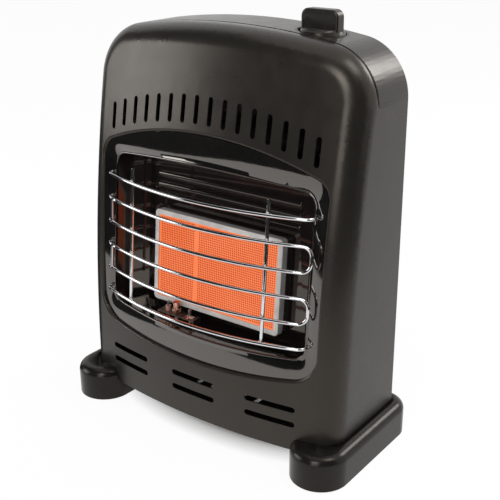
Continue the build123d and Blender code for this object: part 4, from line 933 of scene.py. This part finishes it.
@dataclass
class VentShadePlate:
    """Dark beaded plate a few millimetres inside the back louvres: a painted shade that keeps the view
    through the vents dark.

    Attributes:
        middle: middle of the plate.
        width: width of the plate.
        height: height of the plate.
        beads: number of beads pressed into it.
        bead: how far a bead stands out to the front.
        beaded: half length of the beads, as a share of the width.
        flange: depth of the flanges along its top and bottom edges.
        upright: half height of the plate between its flanges, as a share of the height.
        sheet: thickness of the plate.
    """

    middle: Triple = (0.0, 0.0425, 0.271)
    width: float = 0.224
    height: float = 0.054
    beads: int = 3
    bead: float = 0.0012
    beaded: float = 0.46
    flange: float = 0.003
    upright: float = 0.49
    sheet: float = 0.0006

    def build(self, palette: Palette) -> None:
        """Makes the plate.

        Args:
            palette: the materials.
        """
        shape = bmesh.new()
        bmesh.ops.create_grid(shape, x_segments=40, y_segments=36, size=0.5)
        for vert in shape.verts:
            across, up = vert.co.x, vert.co.y
            rise = max(0.0, math.sin(2.0 * math.pi * (self.beads * up + 0.5)))
            back = self.flange if abs(up) > self.upright else 0.0
            if abs(across) < self.beaded:
                back -= self.bead * rise
            vert.co = (across * self.width, back, up * self.height)
        bmesh.ops.recalc_face_normals(shape, faces=shape.faces)
        bmesh.ops.solidify(shape, geom=list(shape.faces), thickness=self.sheet)
        bmesh.ops.translate(shape, vec=self.middle, verts=shape.verts)
        # dark sheet in the casing's enamel, painted shade behind the vents
        piece = new_piece("vent_shade_plate", shape, [palette[Slot.CASING]])
        attach(piece)


@dataclass
class Pads:
    """Rubber pads with a ring pressed into their undersides.

    Attributes:
        x: distance of the pads from the middle, to either side.
        y: distance of the pads from the middle, to front and back.
        radius: radius of a pad.
        height: height of a pad.
        edge: width of the sloped lower edge.
        groove: depth of the ring.
        ring: radii of the ring's walls, at its mouth and its floor, as shares of the pad's radius.
    """

    x: float = 0.1216
    y: float = 0.0475
    radius: float = 0.008
    height: float = 0.003
    edge: float = 0.0006
    groove: float = 0.0005
    ring: tuple[float, float, float, float] = (0.72, 0.66, 0.54, 0.48)

    def build(self, palette: Palette) -> None:
        """Makes the four pads as one piece.

        Args:
            palette: the materials.
        """
        outer, outer_floor, inner_floor, inner = (self.radius * share for share in self.ring)
        profile = [
            (0.0, self.height),
            (self.radius, self.height),
            (self.radius, self.edge),
            (self.radius - self.edge, 0.0),
            (outer, 0.0),
            (outer_floor, self.groove),
            (inner_floor, self.groove),
            (inner, 0.0),
            (0.0, 0.0),
        ]
        whole = bmesh.new()
        for side, end in product((-1.0, 1.0), repeat=2):
            pad = turned(profile, 40)
            bmesh.ops.translate(pad, vec=(side * self.x, end * self.y, 0.0), verts=pad.verts)
            join_into(whole, pad)
        piece = new_piece("rubber_pads", whole, [palette[Slot.RUBBER]], 40.0)
        attach(piece, ("foot_pads",))


@dataclass
class WindowDish:
    """Sloping border pressed into the bezel, from the rolled lip to a rolled edge round the fire opening.

    Attributes:
        height: height of the window's middle.
        segments: steps round the window.
        steps: rings across the slope.
        rise: how far the border stands ahead of the bezel at the lip, at the window's foot and at its top.
        hollow: share of the rise that is curved, 0 for a straight slope.
        roll: rolled edge, as distance outward from the opening and ahead of the bezel.
        tuck: how far the border runs under the lip.
        front: Y from which the bezel and the lip are felt for.
        hole: step past a hole for the guard's wires.
        least: least distance from the opening at which the bezel is felt for.
        matt_above: height from which the bezel is in the casing's enamel.
        depths: Y of the first and last level at which the openings are felt for, and the number of levels.
    """

    height: float = 0.17
    segments: int = 240
    steps: int = 7
    rise: tuple[float, float] = (0.0026, 0.0054)
    hollow: float = 0.34
    roll: tuple[tuple[float, float], ...] = (
        (-0.0001, -0.001),
        (-0.0003, -0.0002),
        (-0.0002, 0.0005),
        (0.0003, 0.0009),
        (0.0009, 0.001),
        (0.0015, 0.0008),
        (0.0019, 0.0004),
    )
    tuck: float = 0.0002
    front: float = -0.2
    hole: float = 0.005
    least: float = 0.0006
    matt_above: float = 0.258
    depths: tuple[float, float, int] = (-0.064, -0.026, 34)

    def tree(self, node: str) -> BVHTree:
        """Search tree of a CAD node's faces.

        Args:
            node: name of the CAD node.

        Returns:
            The search tree.
        """
        shape = bmesh.new()
        shape.from_mesh(frame["nodes"][node].data)
        tree = BVHTree.FromBMesh(shape)
        shape.free()
        return tree

    def reach(self, tree: BVHTree, way: Vector) -> float:
        """Distance from the window's middle to the nearest edge of an opening.

        Args:
            tree: the plate with the opening.
            way: direction in the plane of the window.

        Returns:
            The distance in metres.
        """
        start, end, levels = self.depths
        found = []
        for level in range(levels):
            spot = Vector((0.0, start + (end - start) * level / (levels - 1), self.height))
            distance = tree.ray_cast(spot, way)[3]
            if distance is not None:
                found.append(distance)
        return min(found)

    def surface(self, tree: BVHTree, x: float, z: float) -> float:
        """Y of the bezel's front at a place, or next to it where a hole for the guard is.

        Args:
            tree: the bezel's faces.
            x: place to the right.
            z: height.

        Returns:
            The Y in metres.
        """
        hit = tree.ray_cast(Vector((x, self.front, z)), Vector((0.0, 1.0, 0.0)))[0]
        beside = hit or tree.ray_cast(Vector((x, self.front, z + self.hole)), Vector((0.0, 1.0, 0.0)))[0]
        return beside.y

    def section(self, index: int, width: float, up: float) -> tuple[float, float]:
        """One point of the border's section.

        Args:
            index: number of the ring, from the rolled edge to the lip.
            width: distance from the opening to the lip.
            up: upward share of the direction, -1 at the window's foot and 1 at its top.

        Returns:
            Distance outward from the opening, and ahead of the bezel.
        """
        if index < len(self.roll):
            return self.roll[index]
        foot_out, foot_ahead = self.roll[-1]
        share = (index + 1 - len(self.roll)) / self.steps
        climb = (1.0 - self.hollow) * share + self.hollow * (1.0 - (1.0 - share) ** 2)
        top = self.rise[0] + (self.rise[1] - self.rise[0]) * (1.0 + up) / 2.0
        out = foot_out + share * (width + self.tuck - foot_out)
        return out, foot_ahead + (top - foot_ahead) * climb

    def border(self) -> Shape:
        """Makes the border as rings round the window, bridged to a closed band.

        Returns:
            The border, with outward faces.
        """
        bezel = self.tree("window_bezel")
        panel = self.tree("front_panel")
        turns = [2.0 * math.pi * step / self.segments for step in range(self.segments)]
        ways = [Vector((math.cos(turn), 0.0, math.sin(turn))) for turn in turns]
        spans = [(self.reach(bezel, way), self.reach(panel, way)) for way in ways]
        shape = bmesh.new()
        loops = []
        for index in range(len(self.roll) + self.steps):
            ring = bmesh.ops.create_circle(shape, segments=self.segments, radius=self.height)["verts"]
            loops.append(list(shape.edges)[-self.segments:])
            for vert, way, (low, high) in zip(ring, ways, spans):
                out, ahead = self.section(index, high - low, way.z)
                felt = way * (low + max(out, self.least))
                x, z = way.x * (low + out), way.z * (low + out) + self.height
                vert.co = (x, self.surface(bezel, felt.x, felt.z + self.height) - ahead, z)
        for first, second in zip(loops, loops[1:] + loops[:1]):
            bmesh.ops.bridge_loops(shape, edges=first + second)
        bmesh.ops.recalc_face_normals(shape, faces=shape.faces)
        return shape

    def build(self, palette: Palette) -> None:
        """Makes the border, and the bezel behind it with its matt upper part.

        Args:
            palette: the materials.
        """
        back = surfaced("window_bezel", Slot.BEZEL, palette)
        back.data.materials.append(palette[Slot.CASING])
        for face in back.data.polygons:
            face.material_index = int(face.center.z > self.matt_above)
        piece = new_piece("window_dish", self.border(), [palette[Slot.BEZEL]], 60.0)
        attach(piece)


@dataclass
class Skins:
    """The CAD nodes whose form is right, as merged copies with even shading.

    Attributes:
        flat_angle: turn in degrees from which an edge of the flat back panel stays sharp.
        nodes: slot and names of the others that stand still.
    """

    flat_angle: float = 10.0
    nodes: tuple[tuple[Slot, tuple[str, ...]], ...] = (
        (Slot.CASING, ("front_panel", "casing_wrap", "knob_well")),
        (Slot.FRAME, ("burner_frame",)),
        (
            Slot.CHROME,
            ("guard_low_wire", "guard_high_wire", "guard_low_loop", "guard_high_loop", "guard_rods"),
        ),
        (Slot.FOOT, ("left_foot", "right_foot")),
        (Slot.FIREBOX, ("firebox_back",)),
        (Slot.SHEET, ("mixing_tube",)),
        (Slot.CASTING, ("regulator",)),
    )

    def build(self, palette: Palette) -> None:
        """Makes the copies.

        Args:
            palette: the materials.
        """
        surfaced("back_panel", Slot.CASING, palette, self.flat_angle)
        surfaced("control_knob", Slot.KNOB, palette, body=Body.KNOB)
        for slot, names in self.nodes:
            for node in names:
                surfaced(node, slot, palette)


@dataclass
class PlainNodes:
    """Gives every CAD node its material."""

    def build(self, palette: Palette) -> None:
        """Sets the material slots of each node.

        Args:
            palette: the materials.
        """
        slots = {part["node"]: Slot(part["material_slot"]) for part in frame["record"]["subparts"]}
        for node, piece in frame["nodes"].items():
            piece.data.materials.clear()
            piece.data.materials.append(palette[slots[node]])
            log.info("%s gets %s", node, slots[node].value)


# ---------------------------------------------------------------- studio
def aim(item: Piece, spot: Triple, target: Triple) -> None:
    """Adds a camera or lamp to the scene at a spot, facing a target.

    Args:
        item: the camera or lamp.
        spot: where it stands.
        target: what it faces.
    """
    item.location = spot
    item.rotation_euler = (Vector(target) - Vector(spot)).to_track_quat("-Z", "Y").to_euler()
    bpy.context.scene.collection.objects.link(item)


@dataclass
class Camera:
    """The camera of the main view.

    Attributes:
        spot: where it stands.
        target: what it looks at.
        lens: focal length in millimetres.
        shift: sideways and upward shift of the frame.
    """

    spot: Triple = (0.4574, -0.5796, 0.4470)
    target: Triple = (0.03545, 0.0035, 0.1681)
    lens: float = 65.87
    shift: tuple[float, float] = (-0.0351, -0.0090)

    def build(self) -> None:
        """Adds the camera to the scene."""
        data = bpy.data.cameras.new("main_camera")
        data.lens = self.lens
        data.sensor_width = 36.0
        data.shift_x, data.shift_y = self.shift
        camera = bpy.data.objects.new("main_camera", data)
        aim(camera, self.spot, self.target)
        bpy.context.scene.camera = camera


@dataclass
class SoftBox:
    """A rectangular studio lamp.

    Attributes:
        name: name of the lamp.
        spot: where it stands.
        size: width and height.
        power: power in watts.
        target: what it faces.
    """

    name: str
    spot: Triple
    size: tuple[float, float]
    power: float
    target: Triple = (0.0, 0.0, 0.18)

    def build(self) -> None:
        """Adds the lamp to the scene."""
        data = bpy.data.lights.new(self.name, "AREA")
        data.shape = "RECTANGLE"
        data.size, data.size_y = self.size
        data.energy = self.power
        lamp = bpy.data.objects.new(self.name, data)
        lamp.visible_camera = False
        aim(lamp, self.spot, self.target)


@dataclass(frozen=True)
class Flag:
    """A dark card bent round the studio, which gives gloss and chrome something dark to show.

    Attributes:
        name: name of the card.
        start: radius and height of its first edge.
        end: radius and height of its second edge.
        middle: where its middle stands, in degrees round from the right.
        sweep: how far it reaches round, in degrees.
        grey: its colour.
    """

    name: str
    start: tuple[float, float]
    end: tuple[float, float]
    middle: float = -90.0
    sweep: float = 190.0
    grey: float = 0.02

    def build(self) -> None:
        """Stages the card, which only mirror rays see."""
        graph = Graph(self.name)
        matt = graph.add("ShaderNodeBsdfDiffuse")
        matt.inputs["Color"].default_value = (self.grey, self.grey, self.grey, 1.0)
        graph.link(matt.outputs["BSDF"], graph.output.inputs["Surface"])
        shape = bmesh.new()
        pair = [shape.verts.new((radius, 0.0, height)) for radius, height in (self.start, self.end)]
        edge = shape.edges.new(pair)
        bmesh.ops.spin(
            shape,
            geom=[*pair, edge],
            cent=(0.0, 0.0, 0.0),
            axis=(0.0, 0.0, 1.0),
            angle=math.radians(self.sweep),
            steps=32,
        )
        turn = Matrix.Rotation(math.radians(self.middle - self.sweep / 2.0), 4, "Z")
        bmesh.ops.transform(shape, matrix=turn, verts=shape.verts)
        card = new_piece(self.name, shape, [graph.owner])
        card.visible_camera = False
        card.visible_diffuse = False
        card.visible_transmission = False
        card.visible_shadow = False


@dataclass
class Studio:
    """Pale floor, pale surroundings and soft lamps.

    Attributes:
        floor_size: width of the floor.
        floor_colour: colour of the floor.
        glow: share of the floor that camera and mirror rays see as plain white.
        shade_patch: half width and half depth of the floor under the heater, where the white glow fades out:
            a painted shade patch, inside which the floor's real shadow shows.
        fill: strength of the surroundings as a light.
        flags: the dark cards.
        lamps: the lamps.
    """

    floor_size: float = 12.0
    floor_colour: Colour = (0.9, 0.9, 0.89)
    glow: float = 0.93
    shade_patch: tuple[float, float] = (0.135, 0.06)
    fill: float = 0.6
    flags: tuple[Flag, ...] = (
        Flag("upright_flag", (2.4, 0.0), (2.4, 4.5)),
        Flag("floor_flag", (0.62, 0.002), (2.4, 0.002), sweep=236.0),
        Flag("left_floor_flag", (0.18, 0.003), (0.62, 0.003), 170.0, 50.0),
        Flag("rear_flag", (0.62, 0.002), (0.62, 0.3), 126.0, 50.0),
    )
    lamps: tuple[SoftBox, ...] = (
        SoftBox("left_box", (-1.56, -1.02, 0.53), (0.95, 0.85), 11.5),
        SoftBox("front_low_box", (0.487, -1.817, 0.444), (0.65, 0.65), 5.7),
        SoftBox("front_high_box", (0.412, -1.539, 1.215), (0.65, 0.65), 11.6),
        SoftBox("right_top_box", (0.95, 0.0, 1.825), (0.7, 0.7), 9.0),
        SoftBox("rear_box", (0.806, 1.395, 1.187), (0.7, 0.7), 14.0),
    )

    def seen(self, graph: Graph) -> Socket:
        """A value that is 1 for camera, mirror and see-through rays.

        Args:
            graph: tree that the value is added to.

        Returns:
            The value socket.
        """
        path = graph.add("ShaderNodeLightPath")
        direct = graph.sum_up("MAXIMUM", path.outputs["Is Camera Ray"], path.outputs["Is Glossy Ray"])
        return graph.sum_up("MAXIMUM", direct, path.outputs["Is Transmission Ray"])

    def glow_outside_shade_patch(self, graph: Graph) -> Socket:
        """A value that is the glow's share on the open floor and falls to 0 under the heater, painting a
        shade patch there inside which the real shadow shows.

        Args:
            graph: the floor's tree.

        Returns:
            The value socket.
        """
        place = graph.add("ShaderNodeTexCoord")
        fit = graph.add("ShaderNodeMapping")
        fit.inputs["Scale"].default_value = (1.0 / self.shade_patch[0], 1.0 / self.shade_patch[1], 0.0)
        length = graph.add("ShaderNodeVectorMath")
        length.operation = "LENGTH"
        graph.link(place.outputs["Object"], fit.inputs["Vector"])
        graph.link(fit.outputs["Vector"], length.inputs[0])
        return graph.spread(length.outputs["Value"], 0.0, self.glow, 0.6, 1.0)

    def floor(self) -> None:
        """Adds the floor."""
        graph = Graph("floor")
        matt = graph.add("ShaderNodeBsdfDiffuse")
        matt.inputs["Color"].default_value = (*self.floor_colour, 1.0)
        white = graph.add("ShaderNodeEmission")
        mix = graph.add("ShaderNodeMixShader")
        share = graph.sum_up("MULTIPLY", self.seen(graph), self.glow_outside_shade_patch(graph))
        graph.link(share, mix.inputs["Fac"])
        graph.link(matt.outputs["BSDF"], mix.inputs[1])
        graph.link(white.outputs["Emission"], mix.inputs[2])
        graph.link(mix.outputs["Shader"], graph.output.inputs["Surface"])
        shape = bmesh.new()
        bmesh.ops.create_grid(shape, x_segments=1, y_segments=1, size=self.floor_size / 2.0)
        new_piece("floor", shape, [graph.owner])

    def surroundings(self) -> None:
        """Sets the world: white to the eye, softer as a light."""
        graph = Graph("studio", world=True)
        light = graph.add("ShaderNodeBackground")
        light.inputs["Color"].default_value = (1.0, 1.0, 1.0, 1.0)
        strength = graph.spread(self.seen(graph), self.fill, 1.0, 0.0, 1.0)
        graph.link(strength, light.inputs["Strength"])
        graph.link(light.outputs["Background"], graph.output.inputs["Surface"])
        bpy.context.scene.world = graph.owner

    def build(self) -> None:
        """Adds floor, surroundings and lamps."""
        self.floor()
        self.surroundings()
        for item in (*self.flags, *self.lamps):
            item.build()
        bpy.context.scene.view_settings.view_transform = "Standard"


def main() -> None:
    """Builds the heater, piece by piece, and the studio round it."""
    logging.basicConfig(level=logging.INFO, format="%(message)s")
    palette = Palette()
    back_spots = [(side * 0.1308, 0.0495, height) for side in (-1.0, 1.0) for height in (0.06, 0.17, 0.28)]
    foot_spots = [(side * 0.122, end * 0.027, 0.0169) for side in (-1.0, 1.0) for end in (-1.0, 1.0)]
    PlainNodes().build(palette)
    Skins().build(palette)
    WindowDish().build(palette)
    Plaque().build(palette)
    GuardWelds().build(palette)
    Pilot().build(palette)
    VentShadePlate().build(palette)
    GasInlet().build(palette)
    Pads().build(palette)
    Screws("back_screws", "back_panel_screws", back_spots, (0.0, 1.0, 0.0)).build(palette)
    Screws("sole_screws", "foot_screws", foot_spots, (0.0, 0.0, -1.0)).build(palette)
    Camera().build()
    Studio().build()


if __name__ == "__main__":
    main()
